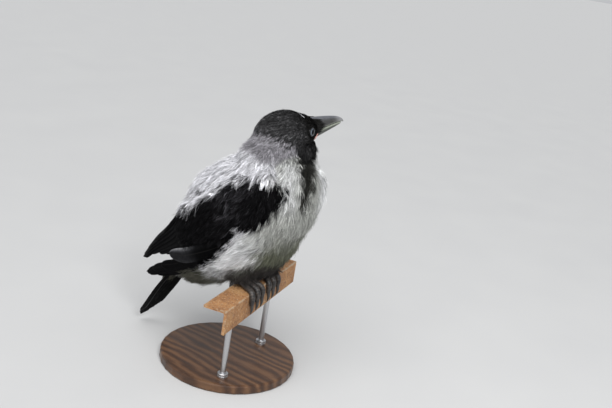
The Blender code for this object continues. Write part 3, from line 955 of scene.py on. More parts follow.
def coat_flow(points, normals):
    """The lie of the coat: back from the bill over the head, and down the body to the tail."""
    along, angle = body_place(points)
    _, _, run, rise = body_axis(along)
    to_tail = np.stack([-run, 0 * run, -rise], 1)
    down = np.array((0.0, 0.0, -1.0))
    over_head = -HEAD_TURNED[:, 0] + 0.35 * down
    flow = mixed(to_tail, over_head, ramp(140, 166, points[:, 2:]))
    outward_up = np.stack([-rise, np.sign(points[:, 1]) * 0.25, run], 1)
    under = ramp(58, 34, -angle) * ramp(22, 30, -angle) * ramp(48, 66, along)
    under *= ramp(160, 130, along)
    over = ramp(10, 30, angle) * ramp(70, 95, along) * ramp(172, 150, along)
    flow = flow + outward_up * (under * 0.75 - over * 0.3)[:, None]
    leg = leg_share(points) * ramp(26, 15, np.abs(np.abs(points[:, 1]) - FOOT_Y))
    flow = flow + down * (leg * 1.5)[:, None]
    for centre in eye_centres():
        away = points - centre
        near = ramp(14, 5, np.linalg.norm(away, axis=1))
        flow = flow + unit(away) * (near * 1.2)[:, None]
    return unit(flow - normals * (flow * normals).sum(1, keepdims=True))


def comb(skin, roots, normals, lengths, yaw):
    """Each tuft's four places along the skin, with the normals and the sideways directions there.

    Also tells which tufts lie well: one that would leap over a fold doesn't."""
    places, ups, sides = [roots], [normals], []
    step = (lengths / 3)[:, None]
    here, up = roots, normals
    for k in range(4):
        flow = coat_flow(here, up)
        side = np.cross(up, flow)
        flow = flow * np.cos(yaw)[:, None] + side * np.sin(yaw)[:, None]
        sides.append(unit(np.cross(up, flow)))
        if k < 3:
            here, up = skin.on(here + flow * step)
            places.append(here)
            ups.append(up)
    places, ups, sides = (np.stack(rows, 1) for rows in (places, ups, sides))
    leaps = np.linalg.norm(np.diff(places, axis=1), axis=2) > step * 1.35
    bends = (ups[:, :-1] * ups[:, 1:]).sum(2) < 0.5
    turns = (sides[:, :-1] * sides[:, 1:]).sum(2) < 0.3
    return (places, ups, sides), ~(leaps | bends | turns).any(1)


def read_cubic(values, at):
    """Values given at the four levels, read at other places along each tuft: (n, 4, 3) at (n, k, m)."""
    terms = np.einsum("ij,njd->nid", CUBIC, values)
    result = np.zeros((*at.shape, 3))
    for power in range(4):
        result += terms[:, None, None, power] * (at**power)[..., None]
    return result


def barb_lines(combed, heights, look, pick):
    """Each barb's middle line, its half widths as vectors, its seat in the tuft and its levels."""
    places, ups, sides = combed
    count, strands, levels = len(places), look.strands, look.levels
    seat = np.linspace(-1, 1, strands) + pick.normal(0, 0.13, (count, strands))
    reach = 1 - 0.3 * seat**2 + pick.normal(0, look.uneven * 0.5, (count, strands)).clip(-0.5, 0.3)
    level = np.linspace(0, 1, levels)
    at = reach[..., None] * level
    up, side = read_cubic(ups, at), read_cubic(sides, at)
    fan = look.spread * np.interp(level, (0, 0.5, 1), look.fan)
    stray = pick.normal(0, look.wander / levels, (count, strands, levels))
    lateral = seat[..., None] * fan + np.cumsum(stray, axis=2) * level
    rise = np.interp(at.ravel(), LEVELS, np.arange(4)).reshape(at.shape)
    low = np.minimum(rise.astype(int), 2)
    index = np.arange(count)[:, None, None]
    height = mixed(heights[index, low], heights[index, low + 1], rise - low)
    height = height * (1 + pick.normal(0, 0.22, (count, strands, 1)))
    height += pick.normal(0, 0.12, at.shape) * level
    middle = read_cubic(places, at) + side * lateral[..., None] + up * height[..., None]
    roll = pick.normal(0, look.roll, (count, strands, 1, 1)) + seat[..., None, None] * 0.4
    across = side * np.cos(roll) + up * np.sin(roll)
    taper = look.half_width * np.array(TAPERS[levels])
    across *= (taper * (0.75 + 0.5 * pick.random((count, strands, 1))))[..., None]
    return middle, across, seat, level


def tuft_piece(name, combed, heights, look, tints, tips, pick, kind="black"):
    """One piece of coat: every tuft a fan of thin tapering barbs that lie along the skin."""
    middle, across, seat, level = barb_lines(combed, heights, look, pick)
    count, strands = seat.shape
    barbs = count * strands
    pairs = np.stack([(middle - across)[:, :, :-1], (middle + across)[:, :, :-1]], 3)
    points = np.concatenate([pairs.reshape(barbs, -1, 3), middle[:, :, -1:].reshape(-1, 1, 3)], 1)
    per = points.shape[1]
    faces = []
    for a in range(0, per - 3, 2):
        faces += [(a, a + 2, a + 3), (a, a + 3, a + 1)]
    faces.append((per - 3, per - 1, per - 2))
    faces = (np.arange(barbs)[:, None, None] * per + np.array(faces)).reshape(-1, 3).tolist()
    luck = pick.random((count, strands, 1, 1))
    odd = np.where(luck > ODD_BRIGHT, look.bright, 1)
    odd = np.where(luck < ODD_DARK, 1 - 2.5 * look.contrast, odd)
    shade = (1 + pick.normal(0, look.contrast, luck.shape)) * odd
    toward = np.append(np.repeat(level[:-1], 2), 1.0)
    tint = mixed(tints[:, None, None], tips[:, None, None], toward[:, None])
    tint = tint * np.clip(shade, 0.35, 4)
    material, slot = BARBS[kind]
    piece = mesh_piece(name, points.reshape(-1, 3), faces, bpy.data.materials[material])
    point_attribute(piece.data, "tint", tint.reshape(-1, 3))
    patch = unwrapped(combed[0][:, 0])[:, None, None]
    u = patch[..., 0] + seat.clip(-1, 1)[..., None] * UV_PATCH / 2
    v = patch[..., 1] + (toward - 0.5) * UV_PATCH
    uv_map(piece.data, np.stack(np.broadcast_arrays(u, v), -1).reshape(-1, 2))


def free_tufts(name, places, ups, heights, look, tints, tips, pick, kind="black"):
    """Tufts that lie along lines of four places each, whatever the skin does under them."""
    sides = unit(np.cross(ups, unit(np.gradient(places, axis=1))))
    heights = np.broadcast_to(heights, places.shape[:2])
    tuft_piece(name, (places, ups, sides), heights, look, tints, tips, pick, kind)


def root_density(points):
    """Roots per square millimetre of skin."""
    z = points[:, 2]
    head = ramp(146, 160, z)
    density = mixed(0.27 + 0.25 * leg_share(points, 24, 12), 0.95, ramp(122, 134, z))
    return mixed(mixed(density, 1.2, head), 1.7, head * ramp(-6, 10, in_head(points)[:, 0]))


def tuft_length(points):
    along, angle = body_place(points)
    z = points[:, 2]
    head = ramp(142, 160, z)
    fluffy = ramp(24, 36, -angle) * ramp(132, 105, along)
    fluffy *= ramp(66, 50, -angle - flank_hem(along))
    vent = ramp(80, 68, along) * ramp(10, 25, -angle) * ramp(52, 38, -angle)
    length = mixed(14.5, 5.6, ramp(126, 140, z))
    for other, share in (
            (5.6, head), (3.4, head * ramp(-8, 12, in_head(points)[:, 0])), (18.0, fluffy),
            (9.0, vent), (10.0, leg_share(points)), (12.0, ramp(40, 20, along)),
            (6.0, ramp(14, 0, along))):
        length = mixed(length, other, share)
    return length


def clear_of_face(points):
    """False where a tuft would cover an eye or the bill."""
    keep = np.ones(len(points), bool)
    for centre, axis, _, _ in eye_axes():
        away = points - centre
        ahead = away @ axis
        off = np.linalg.norm(away - ahead[:, None] * axis, axis=1)
        keep &= ~((off < EYE_CLEARANCE) & (ahead > 0))
    forward, sideways, up = in_head(points).T
    sideways = np.abs(sideways)
    keep &= ~((forward > 17.5) & (sideways < 7) & (up > -7) & (up < 12))
    for x, y, z in GAPE[:-1]:
        keep &= np.hypot(np.hypot(forward - x, sideways - y), up - z) > 2.0
    return keep


def clear_of_wing(points):
    """False under the folded flight feathers, where no coat would be seen."""
    along, angle = body_place(points)
    low = read_edge(along, WING_LOW)
    return ~((along < 72) & (along > -10) & (angle > low + 2) & (angle < 58))


def clear_of_sheen(points):
    """False on the stretch of the wing that the feather with the painted grey sheen lies bare on."""
    along, angle = body_place(points)
    (root, root_angle), (tip, tip_angle), _ = SHEEN_FEATHER
    clear = np.ones(len(points), bool)
    for reach in (0, 6, 12):
        place = along - reach
        middle = np.interp(place, (tip, root), (tip_angle, root_angle))
        middle += SHEEN_BEND * np.sin(math.pi * np.clip((root - place) / (root - tip), 0, 1))
        off = angle - middle
        near = np.where(off > 0, 0.7, 1) * np.abs(off) < mixed(10.5, 4, ramp(74, 104, place)) - 0.15 * reach
        clear &= ~(near & (place < root - 2) & (place > tip))
    return clear


def scapular_roots(skin, pick):
    """Roots of the long pointed tufts that hang from the grey back over the black wing."""
    along = np.concatenate([np.arange(66, 183, 1.5)] * 2)
    along = along + pick.normal(0, 1.5, len(along))
    edge = read_edge(along, GREY_OVER_WING)
    clump = np.abs(np.sin(along * 0.5 + 1.3 * np.sin(along * 0.17))) > 0.35
    places = []
    for side in (-1, 1):
        angle = edge + pick.uniform(-4, 6, len(along))
        places.append(wing_point(along, angle, -4, side)[clump])
    return skin.on(np.vstack(places))


def grow_scapulars(skin):
    pick = picker("scapulars")
    roots, normals = scapular_roots(skin, pick)
    lengths = pick.uniform(12, 19, len(roots))
    combed, good = comb(skin, roots, normals, lengths, pick.normal(0.0, 0.22, len(roots)))
    combed, roots = [part[good] for part in combed], roots[good]
    heights = (coat_depth(roots) + pick.uniform(0.2, 1.2, len(roots)))[:, None]
    tints = MANTLE * np.exp(pick.normal(0, 0.12, len(roots)))[:, None]
    tuft_piece("coat_scapulars", combed, heights * np.array([0.3, 0.85, 1.05, 1.1]), SCAPULAR_LOOK,
               tints * 0.7, tints * 1.1, pick, "down")


def coat_roots(skin, pick):
    """The coat's tufts combed along the skin, all over the bird."""
    roots, normals = skin.scatter(root_density(skin.centres), pick)
    keep = clear_of_face(roots) & clear_of_sheen(roots) & clear_of_wing(roots)
    roots, normals = roots[keep], normals[keep]
    lengths = tuft_length(roots) * np.clip(pick.normal(1, 0.14, len(roots)), 0.65, 1.4)
    lengths *= 1 - 0.3 * ramp(-16, -8, wing_share(roots)) * ramp(70, 95, body_place(roots)[0])
    for centre in eye_centres():
        gap = np.linalg.norm(roots - centre, axis=1)
        lengths = np.minimum(lengths, np.maximum((gap - 6.0) * 0.9, 1.5))
    yaw = pick.normal(0, 0.2, len(roots)) + 0.25 * wave(roots, 14, 11)
    combed, good = comb(skin, roots, normals, lengths, yaw)
    return [part[good] for part in combed]


def coat_areas(roots, dark, fluffy):
    """For each area of the coat: which tufts it has, how they look and their kind of barbs."""
    along, angle = body_place(roots)
    head, neck = roots[:, 2] > HEAD_FROM, roots[:, 2] > NECK_FROM
    wing = dark & ~head & (np.abs(angle) < 78) & (along < 184) & (along > 30)
    body = ~dark & ~neck
    fluff = body & (fluffy > 0.4)
    front = (roots[:, 0] > body_axis(along)[0]) | (angle < -20)
    return {
        "coat_hood": (dark & head, HEAD_LOOK, "black"),
        "coat_neck": (~dark & neck, NECK_LOOK, "down"),
        "coat_wing": (wing, COVERT_LOOK, "black"),
        "coat_dark": (dark & ~head & ~wing, DOWN_LOOK, "black"),
        "coat_flank": (fluff, FLUFF_LOOK, "down"),
        "coat_breast": (body & ~fluff & front, DOWN_LOOK, "down"),
        "coat_back": (body & ~fluff & ~front, BACK_LOOK, "down"),
    }


def grow_coat(skin):
    strand_material("down_barbs", 0.8, 0.2, 0.08, 0.16)
    strand_material("black_barbs", 0.5, 0.025, 0.0, 0.35)
    pick = picker("coat")
    combed = coat_roots(skin, pick)
    roots = combed[0][:, 0]
    along, angle = body_place(roots)
    z = roots[:, 2]
    fluffy = ramp(26, 36, -angle) * ramp(132, 110, along) * ramp(50, 60, along)
    stand = np.clip(pick.normal(1, 0.16, len(roots)), 0.5, 1.5) * coat_depth(roots)
    flat, fluffed = np.array([0.12, 0.62, 0.92, 0.95]), np.array([0.12, 0.62, 1.0, 1.25])
    heights = stand[:, None] * mixed(flat, fluffed, fluffy[:, None])
    heights = heights * (1 - 0.4 * ramp(150, 162, z))[:, None]
    colour, black = markings(roots, pick.normal(0, 1.5, len(roots)))
    dark = black > 0.5
    heights[dark & (along > 60) & (along < 184) & (z < HEAD_FROM)] *= 1.15
    colour *= np.exp(pick.normal(0, np.where(dark, 0.4, 0.14)))[:, None]
    tints = colour * np.where(dark, 0.8, mixed(0.55, 1.0, fluffy))[:, None]
    tips = colour * np.where(dark, 1.6, 1.15)[:, None]
    # painted sheen: a share of black barb tips near the wing's front are made six times paler
    painted_gleam = pick.random(len(roots)) < 0.5 * ramp(135, 150, along) * ramp(-24, -8, angle)
    tips[painted_gleam & dark & (z < PAINTED_GLEAM_BELOW)] *= 6
    grow_scapulars(skin)
    for name, (mask, look, kind) in coat_areas(roots, dark, fluffy).items():
        for word, side in reversed(SIDES):
            some = mask & ((roots[:, 1] >= 0) == (side > 0))
            tuft_piece(f"{name}_{word}", [part[some] for part in combed], heights[some], look,
                       tints[some], tips[some], pick, kind)


# Tufts that lie free of the skin --------------------------------------------------------------------


def build_bristles():
    """Stiff bristles in a rounded tuft that lies forward over the root of the bill."""
    pick = picker("bristles")
    turn = np.radians(pick.uniform(34, 100, BRISTLES)) * pick.choice((-1, 1), BRISTLES)
    sine, cosine = np.sin(turn), np.cos(turn)
    back = pick.uniform(0, 8, BRISTLES)
    radius = 1 + 0.02 * back
    forward, width, above, below = BRISTLE_ARCH
    rise = np.where(cosine < 0, below, above) * cosine
    start = np.column_stack([forward - back, width * sine * radius, 1.0 + rise * radius])
    lengths = pick.uniform(9.5, 18.0, BRISTLES) * (0.6 + 0.45 * sine**2)
    lengths *= 1 - 0.4 * ramp(64, 92, np.degrees(np.abs(turn)))
    level = np.linspace(0, 1, 4)
    way = np.column_stack([1 + 0 * turn, -0.075 * sine, -0.08 * cosine - 0.05 * np.abs(sine)])
    out = np.column_stack([0 * turn, sine, cosine])
    arch = 1.1 * np.sin(math.pi * level * 0.85) * pick.uniform(0.3, 1.4, (BRISTLES, 1))
    path = start[:, None] + way[:, None] * (lengths[:, None] * level)[..., None]
    path += out[:, None] * (0.25 + arch)[..., None]
    ups = np.repeat((out @ HEAD_TURNED.T)[:, None], 4, 1)
    tints = FACE_BLACK * 1.4 * pick.uniform(0.6, 1.6, (BRISTLES, 1))
    free_tufts("nasal_bristles", from_head(path), ups, 0.0, BRISTLE_LOOK, tints, tints * 2.2, pick)


def grow_lashes():
    """Tiny feathers that cover the lids' outer rims and the eyeballs' sides."""
    pick = picker("lashes")
    level = np.linspace(0, 1, 4)
    places, ups = [], []
    for centre, axis, across, above in eye_axes():
        turn = pick.uniform(0, 2 * math.pi, LASHES)
        start = 39 + 48 * pick.random(LASHES) ** 0.8
        off = np.radians(start[:, None] + pick.uniform(14, 24, LASHES)[:, None] * level)
        around = turn[:, None] + pick.normal(0, 0.25, LASHES)[:, None] * level
        way = np.cos(around)[..., None] * across + np.sin(around)[..., None] * above
        ups.append(np.sin(off)[..., None] * way + np.cos(off)[..., None] * axis)
        places.append(centre + ups[-1] * EYE_RADIUS)
    heights = pick.uniform(0.25, 0.8, (2 * LASHES, 1)) * np.array([0.4, 0.9, 1.2, 1.5])
    tints = FACE_BLACK * pick.uniform(0.5, 1.6, (2 * LASHES, 1))
    free_tufts("coat_lashes", np.vstack(places), np.vstack(ups), heights, LASH_LOOK, tints,
               tints * 2, pick)


def grow_cheeks():
    """Loose feathers that hang from the corners of the gape over the sides of the throat."""
    pick = picker("cheeks")
    level = np.linspace(0, 1, 4)[:, None]
    places, ups = [], []
    for _, side in SIDES:
        root = np.column_stack([pick.uniform(low, high, CHEEK_TUFTS)
                                for low, high in ((9.5, 18), (8.5, 12), (-10.5, -6.5))])
        bow = np.array((-1.5, 7.5, -4.0)) * level + np.array((-1.5, -1.5, -6.0)) * level**2
        path = root[:, None] + bow * pick.uniform(0.6, 1.15, (CHEEK_TUFTS, 1, 1))
        places.append(from_head(path * (1, side, 1)))
        out = unit(np.array((0.2, side, -0.3))) @ HEAD_TURNED.T
        ups.append(np.tile(out, (CHEEK_TUFTS, 4, 1)))
    tints = FACE_BLACK * pick.uniform(0.5, 1.6, (2 * CHEEK_TUFTS, 1))
    free_tufts("coat_cheeks", np.vstack(places), np.vstack(ups), 0.0, LASH_LOOK, tints, tints * 2,
               pick)


def grow_leg_fuzz():
    """Dark down that hangs from the shanks over the roots of the toes."""
    pick = picker("shanks")
    count = SHANK_TUFTS
    level = np.linspace(0, 1, 4)
    places, ups = [], []
    for _, side in SIDES:
        start = np.column_stack([FOOT_X + pick.uniform(-13, 7, count),
                                 side * FOOT_Y + pick.normal(0, 4.5, count),
                                 pick.uniform(8, 13, count)])
        out = np.column_stack([pick.uniform(-0.2, 1.0, count), pick.normal(0, 0.4, count),
                               np.zeros(count)])
        reach = pick.uniform(7, 13, count)[:, None] * level
        path = start[:, None] + unit(out + (0, 0, -0.9))[:, None] * reach[..., None]
        lowest = 2 * TOE_RADIUS + 0.5 + pick.uniform(0, 1.2, (count, 1))
        path[..., 2] = np.maximum(path[..., 2], lowest)
        places.append(path)
        ups.append(unit(np.repeat(out[:, None], 4, 1) * 0.5 + (0, 0, 1.0)))
    tints = FUZZ * pick.uniform(0.4, 1.6, (2 * count, 1))
    free_tufts("coat_shanks", np.vstack(places), np.vstack(ups), 0.0, FUZZ_LOOK, tints * 0.6,
               tints * 1.4, pick, "leg")


def grow_flecks():
    """The few pale barbs that show on the crown and under the eye."""
    level = np.linspace(0, 1, 4)[:, None]
    lines = [mixed(np.array(a, float), np.array(b, float), level) for a, b in FLECKS]
    places = from_head(lines)
    ups = unit(places - HEAD_PLACE)
    tints = np.tile(MANTLE * 0.7, (len(lines), 1))
    free_tufts("coat_flecks", places + ups * 0.6, ups, 0.0, FLECK_LOOK, tints, tints,
               picker("flecks"), "down")


# Flight feathers ----------------------------------------------------------------------------------


def vane(centre, up, half_widths, camber, tint, rims, thickness=0.45, columns=9):
    """One feather as a thin closed blade along a line of points.

    Rims tell how pale its two edges are."""
    rows = len(centre)
    tangent = unit(np.gradient(centre, axis=0))
    side = unit(np.cross(up, tangent))
    up = unit(np.cross(tangent, side))[:, None]
    v = np.linspace(-1, 1, columns)
    width = half_widths[:, None]
    body = centre[:, None] + side[:, None] * (v * width)[..., None]
    body = body - up * (camber * width * v**2)[..., None]
    thick = thickness * (0.3 + 0.7 * (1 - v**2)) * np.minimum(1, width / width.max() + 0.2)
    rise = up * thick[..., None] / 2
    shell = np.concatenate([(body + rise).reshape(-1, 3), (body - rise).reshape(-1, 3)])
    half = rows * columns
    faces = []
    for i in range(rows - 1):
        for j in range(columns - 1):
            a, b = i * columns + j, (i + 1) * columns + j
            faces.append((a, b, b + 1, a + 1))
            faces.append((half + a, half + a + 1, half + b + 1, half + b))
    grid = np.arange(half).reshape(rows, columns)
    rim = [*grid[:, 0], *grid[-1, 1:], *grid[-2::-1, -1], *grid[0, -2:0:-1]]
    faces += [(a, half + a, half + b, b) for a, b in zip(rim, rim[1:] + rim[:1])]
    across = np.tile(v, 2 * rows)
    along = np.tile(np.repeat(run_lengths(centre) * MM, columns), 2)
    pale = rims[0] * ramp(-0.6, -1, across) + rims[1] * ramp(0.6, 1, across)
    pale = pale * ramp(0.15, 0.4, along / along.max())
    tints = np.tile(tint, (len(shell), 1))
    return shell, faces, {"across": across, "along": along, "rim": pale, "tint": tints}


def vane_piece(name, vanes, material):
    """Several vanes as one piece, each with its own cell of the bake map."""
    points, faces = joined([(shell, some) for shell, some, _ in vanes])
    piece = outward(mesh_piece(name, points, faces, material))
    values = {key: np.concatenate([part[key] for _, _, part in vanes]) for key in vanes[0][2]}
    for key, value in values.items():
        point_attribute(piece.data, key, value)
    owner = np.repeat(np.arange(len(vanes)), [len(shell) for shell, _, _ in vanes])
    cells = math.ceil(math.sqrt(len(vanes)))
    u = (owner % cells + 0.5 + 0.45 * values["across"]) / cells
    v = (owner // cells + 0.04 + 0.9 * values["along"] / values["along"].max()) / cells
    uv_map(piece.data, np.column_stack([u, v]))
    return piece


def blade_widths(count, width, root=0.55, tip=0.16):
    """Half widths from a narrow root to a rounded tip."""
    t = np.linspace(0, 1, count)
    body = root + (1 - root) * ramp(0, 0.35, t)
    end = np.sqrt(np.clip(1 - ((t - (1 - tip)) / tip).clip(0, 1) ** 2, 0.004, 1))
    return width * body * end


def wing_blade(feather, bend, lift, side, tone, rims=(0, 0), rows=FEATHER_ROWS,
               blunt=0.16):
    """A feather on the folded wing between two (along, angle) places.

    Lift is its height there, and rims are for its upper and lower edge on the right wing."""
    root, tip, width = feather
    t = np.linspace(0, 1, rows)
    along = mixed(root[0], tip[0], t)
    angle = mixed(root[1], tip[1], t) + bend * np.sin(math.pi * t)
    lifts = mixed(lift[0], lift[1], np.minimum(1, t * 1.6))
    centre = wing_point(along, angle, lifts, side)
    up = unit(centre - wing_point(along, angle, lifts - 4, side))
    return vane(centre, up, blade_widths(rows, width, tip=blunt), 0.09, tone, rims[::-side])


def sheen_blade(side):
    """The long feather between the wing's upper and lower feathers, its greyer tone a painted sky sheen
    with a painted highlight on its upper edge.
    """
    blade = wing_blade(SHEEN_FEATHER, SHEEN_BEND, (-0.5, 1.9), side, PAINTED_SHEEN_TONE, (0.7, 0.05), 26, 0.4)
    values = blade[2]
    # painted highlight on the upper edge; the painted sheen fades to black towards the root
    bare = ramp(0.42, 0.68, values["along"] / values["along"].max())
    edge = ramp(-0.2, -0.98, values["across"] * -side)
    values["tint"] *= ((0.45 + 2.2 * edge) * mixed(0.12, 1, bare))[:, None]
    values["rim"] *= bare
    return blade


def build_wing(word, side, material, pick):
    """Secondaries over the primaries, the feather with the painted grey sheen between them, and the greater
    coverts.
    """
    def tone(base):
        return base * pick.uniform(0.8, 1.5)

    vanes = []
    for k, feather in enumerate(TERTIALS):
        lift = (0.2 - 0.25 * k, 2.4 - 0.4 * k)
        vanes.append(wing_blade(feather, 2.0, lift, side, tone(WING_TONE), (0.02, 0.015)))
    for k, feather in enumerate(PRIMARIES):
        lift = (-1.2 - 0.3 * k, -2.0 - 0.35 * k)
        base, rims = (UNDER_TONE, (0, 0.16)) if feather is PRIMARIES[-1] else (WING_TONE, (0.02, 0))
        vanes.append(wing_blade(feather, -3.5, lift, side, tone(base), rims))
    flight = vane_piece("flight_feathers_" + word, vanes, material)
    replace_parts(flight, "secondaries_" + word, "primaries_" + word)
    vane_piece("painted_sheen_feather_" + word, [sheen_blade(side)], material)
    coverts = []
    for v in np.linspace(0, 1, COVERTS):
        angle = mixed(58, -27, v)
        tip = 66 - 8 * math.sin(math.pi * v) + pick.normal(0, 2)
        feather = ((106 - 8 * v, angle - 2), (tip, angle + 2), COVERT_WIDTH)
        lift = (-2.5, 0.3 if v < 0.5 else -0.6)
        coverts.append(wing_blade(feather, 0, lift, side, tone(WING_TONE), rows=9))
    vane_piece("greater_coverts_" + word, coverts, material)


def build_tail(material, pick):
    """Six pairs of tail feathers, the middle ones on top and longest, still growing."""
    (x0, z0), (x1, z1) = TAIL_ROOT, TAIL_TIP
    length = math.hypot(x1 - x0, z1 - z0)
    run, rise = (x1 - x0) / length, (z1 - z0) / length
    t = np.linspace(0, 1, FEATHER_ROWS)
    vanes = []
    for k in range(TAIL_FEATHERS):
        v = (2 * k + 1) / TAIL_FEATHERS - 1
        share = 1.03 - 0.1 * max(-v, 0) - 0.27 * max(v, 0) ** 1.1 + pick.uniform(-0.02, 0.02)
        reach = length * t * share
        fan = 8.5 * v * (0.6 + 0.4 * ramp(0, 0.5, t)) * (1 - 0.2 * ramp(0.5, 1, t))
        out = 3.6 - 2.2 * abs(v) + pick.uniform(-0.2, 0.2) - TAIL_ROLL * fan
        centre = np.column_stack([x0 + run * reach + rise * out, TAIL_LEAN + fan,
                                  z0 + rise * reach - run * out])
        up = np.tile(unit(np.array((rise, 0.3 * v + TAIL_ROLL, -run))), (FEATHER_ROWS, 1))
        rims = (0.2, 0.05) if v < -0.5 else (0.06, 0.03)
        tone = TAIL_BLACK * pick.uniform(0.7, 1.4)
        widths = blade_widths(FEATHER_ROWS, TAIL_HALF_WIDTH, 0.75, 0.09)
        vanes.append(vane(centre, up, widths, 0.06, tone, rims))
    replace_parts(vane_piece("tail_feathers", vanes, material), "tail")


# Head ---------------------------------------------------------------------------------------------


def bill_material():
    nodes = Nodes("bill_horn")
    grain = nodes.noise(700, 5, 0.6)
    streak = nodes.noise(500, 3, 0.6, (0.25, 0.25, 2.0))
    shade = nodes.sum(nodes.swing(grain, 0.8, 1.15), nodes.swing(streak, -0.15, 0.15))
    scuffs = nodes.span(nodes.noise(380, 6, 0.75), 0.56, 0.7, 0.0, 0.35)
    colour = nodes.mix(scuffs, nodes.shaded(nodes.tint(), shade), (0.20, 0.205, 0.21))
    return nodes.grained(colour, grain, (0.32, 0.5), 0.25)


def bill_half(name, rows, upper, material):
    """One half of the bill in the head's frame, lofted through its sections."""
    fine = smooth(rows, 44)
    sides = 36
    turn = np.arange(sides) * 2 * math.pi / sides
    cosine, sine = np.cos(turn), np.sin(turn)
    keen = np.sign(cosine) * np.abs(cosine) ** 1.15 if upper else cosine
    rings = [np.column_stack([np.full(sides, forward), width * keen,
                              edge + np.where(sine > 0, up, down) * sine])
             for forward, edge, width, up, down in fine]
    points, faces = loft(rings, rings[0].mean(0), rings[-1].mean(0))
    piece = outward(mesh_piece(name, from_head(points), faces, material))
    forward, _, height = points.T
    over = height - np.interp(forward, fine[:, 0], fine[:, 1])
    near_tip = ramp(44, 58, forward)[:, None]
    if upper:
        # painted sky reflection: the culmen's ridge is paler and bluish
        ridge = ramp(0.55, 0.95, over / np.interp(forward, fine[:, 0], fine[:, 3]))[:, None]
        tint = mixed(mixed(HORN, PAINTED_RIDGE_REFLECTION, ridge), HORN_TIP, near_tip * 0.75)
        tint = mixed(tint, HORN_EDGE, ramp(1.1, 0.2, over)[:, None] * 0.8)
    else:
        tint = mixed(LOW_HORN, LOW_HORN_TIP, near_tip * 0.5)
        tint = mixed(tint, LOW_HORN_EDGE, ramp(-1.5, -0.5, over)[:, None] * 0.85)
    point_attribute(piece.data, "tint", tint)
    return piece


def build_bill():
    horn = bill_material()
    soft = two_tone("gape_skin", (900, 4), (0.42, 0.14, 0.13), (0.60, 0.36, 0.32), (0.35, 0.5), 0.3)
    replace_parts(bill_half("bill_upper_half", UPPER_BILL, True, horn), "upper_bill")
    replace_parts(bill_half("bill_lower_half", LOWER_BILL, False, horn), "lower_bill")
    rows = 22
    radii = GAPE_RADIUS * np.sin(np.linspace(0.3, math.pi - 0.2, rows)) ** 0.7
    for word, side in SIDES:
        path = smooth([(x, side * y, z) for x, y, z in GAPE], rows)
        points, faces = tube(from_head(path), radii, 12, (0, 0, 1))
        mesh_piece("gape_flange_" + word, points, faces, soft)


def eye_material():
    """A dark pupil in a blue-grey iris, under a clear wet surface."""
    nodes = Nodes("eye_surface")
    rays = nodes.noise(1800, 3)
    wobble = nodes.sum(nodes.attribute("off_axis"), nodes.swing(rays, -0.25, 0.25))
    pupil = (0.002, 0.002, 0.003)
    colour = nodes.ramp(
        nodes.math("DIVIDE", wobble, 6.0), (0.0, pupil), (0.46, pupil), (0.50, (0.12, 0.155, 0.20)),
        (0.58, (0.36, 0.43, 0.51)), (0.63, (0.01, 0.012, 0.015)), (1.0, (0.005, 0.005, 0.005)))
    return nodes.finish(Base_Color=colour, Roughness=nodes.swing(rays, 0.12, 0.2),
                        Coat_Weight=0.22, Coat_Roughness=0.03, Specular_IOR_Level=0.05)


def lid_material():
    nodes = Nodes("eyelid_skin")
    grain = nodes.noise(1500, 4)
    dark = nodes.mix(grain, (0.008, 0.008, 0.009), (0.022, 0.022, 0.024))
    # pale: the lids' paler skin, and a painted highlight on the inner ring's lower part
    pale = nodes.mix(grain, (0.10, 0.115, 0.135), (0.30, 0.33, 0.37))
    colour = nodes.mix(nodes.attribute("rim"), dark, pale)
    return nodes.grained(colour, grain, (0.4, 0.6), 0.4)


def eyeball(centre, axis, across, above):
    """A ball with a cornea, and how far from its axis each of its points lies."""
    off = np.linspace(0, 180, 41)
    reach = EYE_RADIUS * (1 + 0.05 * ramp(36, 10, off) - 0.12 * ramp(44, 70, off))
    path = centre + (reach * np.cos(np.radians(off)))[:, None] * axis
    radii = reach * np.sin(np.radians(off))
    sides = 48
    rings = round_rings(path[1:-1], radii[1:-1], across[None], above[None], sides)
    from_axis = EYE_RADIUS * np.sin(np.radians(np.minimum(off, 90)))
    from_axis = [from_axis[0], *np.repeat(from_axis[1:-1], sides), from_axis[-1]]
    return *loft(rings, path[0], path[-1]), from_axis


def eyelids(centre, axis, across, above):
    """Beaded rings of round section round the eye."""
    turns = np.linspace(0, 2 * math.pi, 73)[:-1]
    sides = 10
    shapes = []
    for radius, thick, depth in LID_RINGS:
        seat = math.sqrt(EYE_RADIUS**2 - min(radius, 5) ** 2) + depth
        way = np.cos(turns)[:, None] * across + 0.94 * np.sin(turns)[:, None] * above
        path = centre + axis * seat + radius * way
        outwards = unit(np.cross(axis, unit(np.roll(path, -1, 0) - np.roll(path, 1, 0))))
        radii = thick * (1 + 0.22 * np.cos(turns * LID_BEADS))
        rings = round_rings(path, radii, outwards, axis[None], sides)
        shapes.append((rings.reshape(-1, 3), ring_faces(len(path), sides, closed=True)))
    return joined(shapes)


def build_eyes():
    glass, lid = eye_material(), lid_material()
    for (word, _), (centre, axis, across, above) in zip(SIDES, eye_axes()):
        points, faces, from_axis = eyeball(centre, axis, across, above)
        eye = outward(mesh_piece("eyeball_" + word, points, faces, glass))
        point_attribute(eye.data, "off_axis", from_axis)
        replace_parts(eye, "eye_" + word)
        points, faces = eyelids(centre, axis, across, above)
        lids = outward(mesh_piece("eyelids_" + word, points, faces, lid))
        inner = np.arange(len(points)) < len(points) // len(LID_RINGS)
        # painted highlight: the inner lid ring's lower part is paler
        low = (points - centre) @ above < 1.2
        point_attribute(lids.data, "rim", inner * (0.1 + 0.4 * low))


# Feet ----------------------------------------------------------------------------------------------


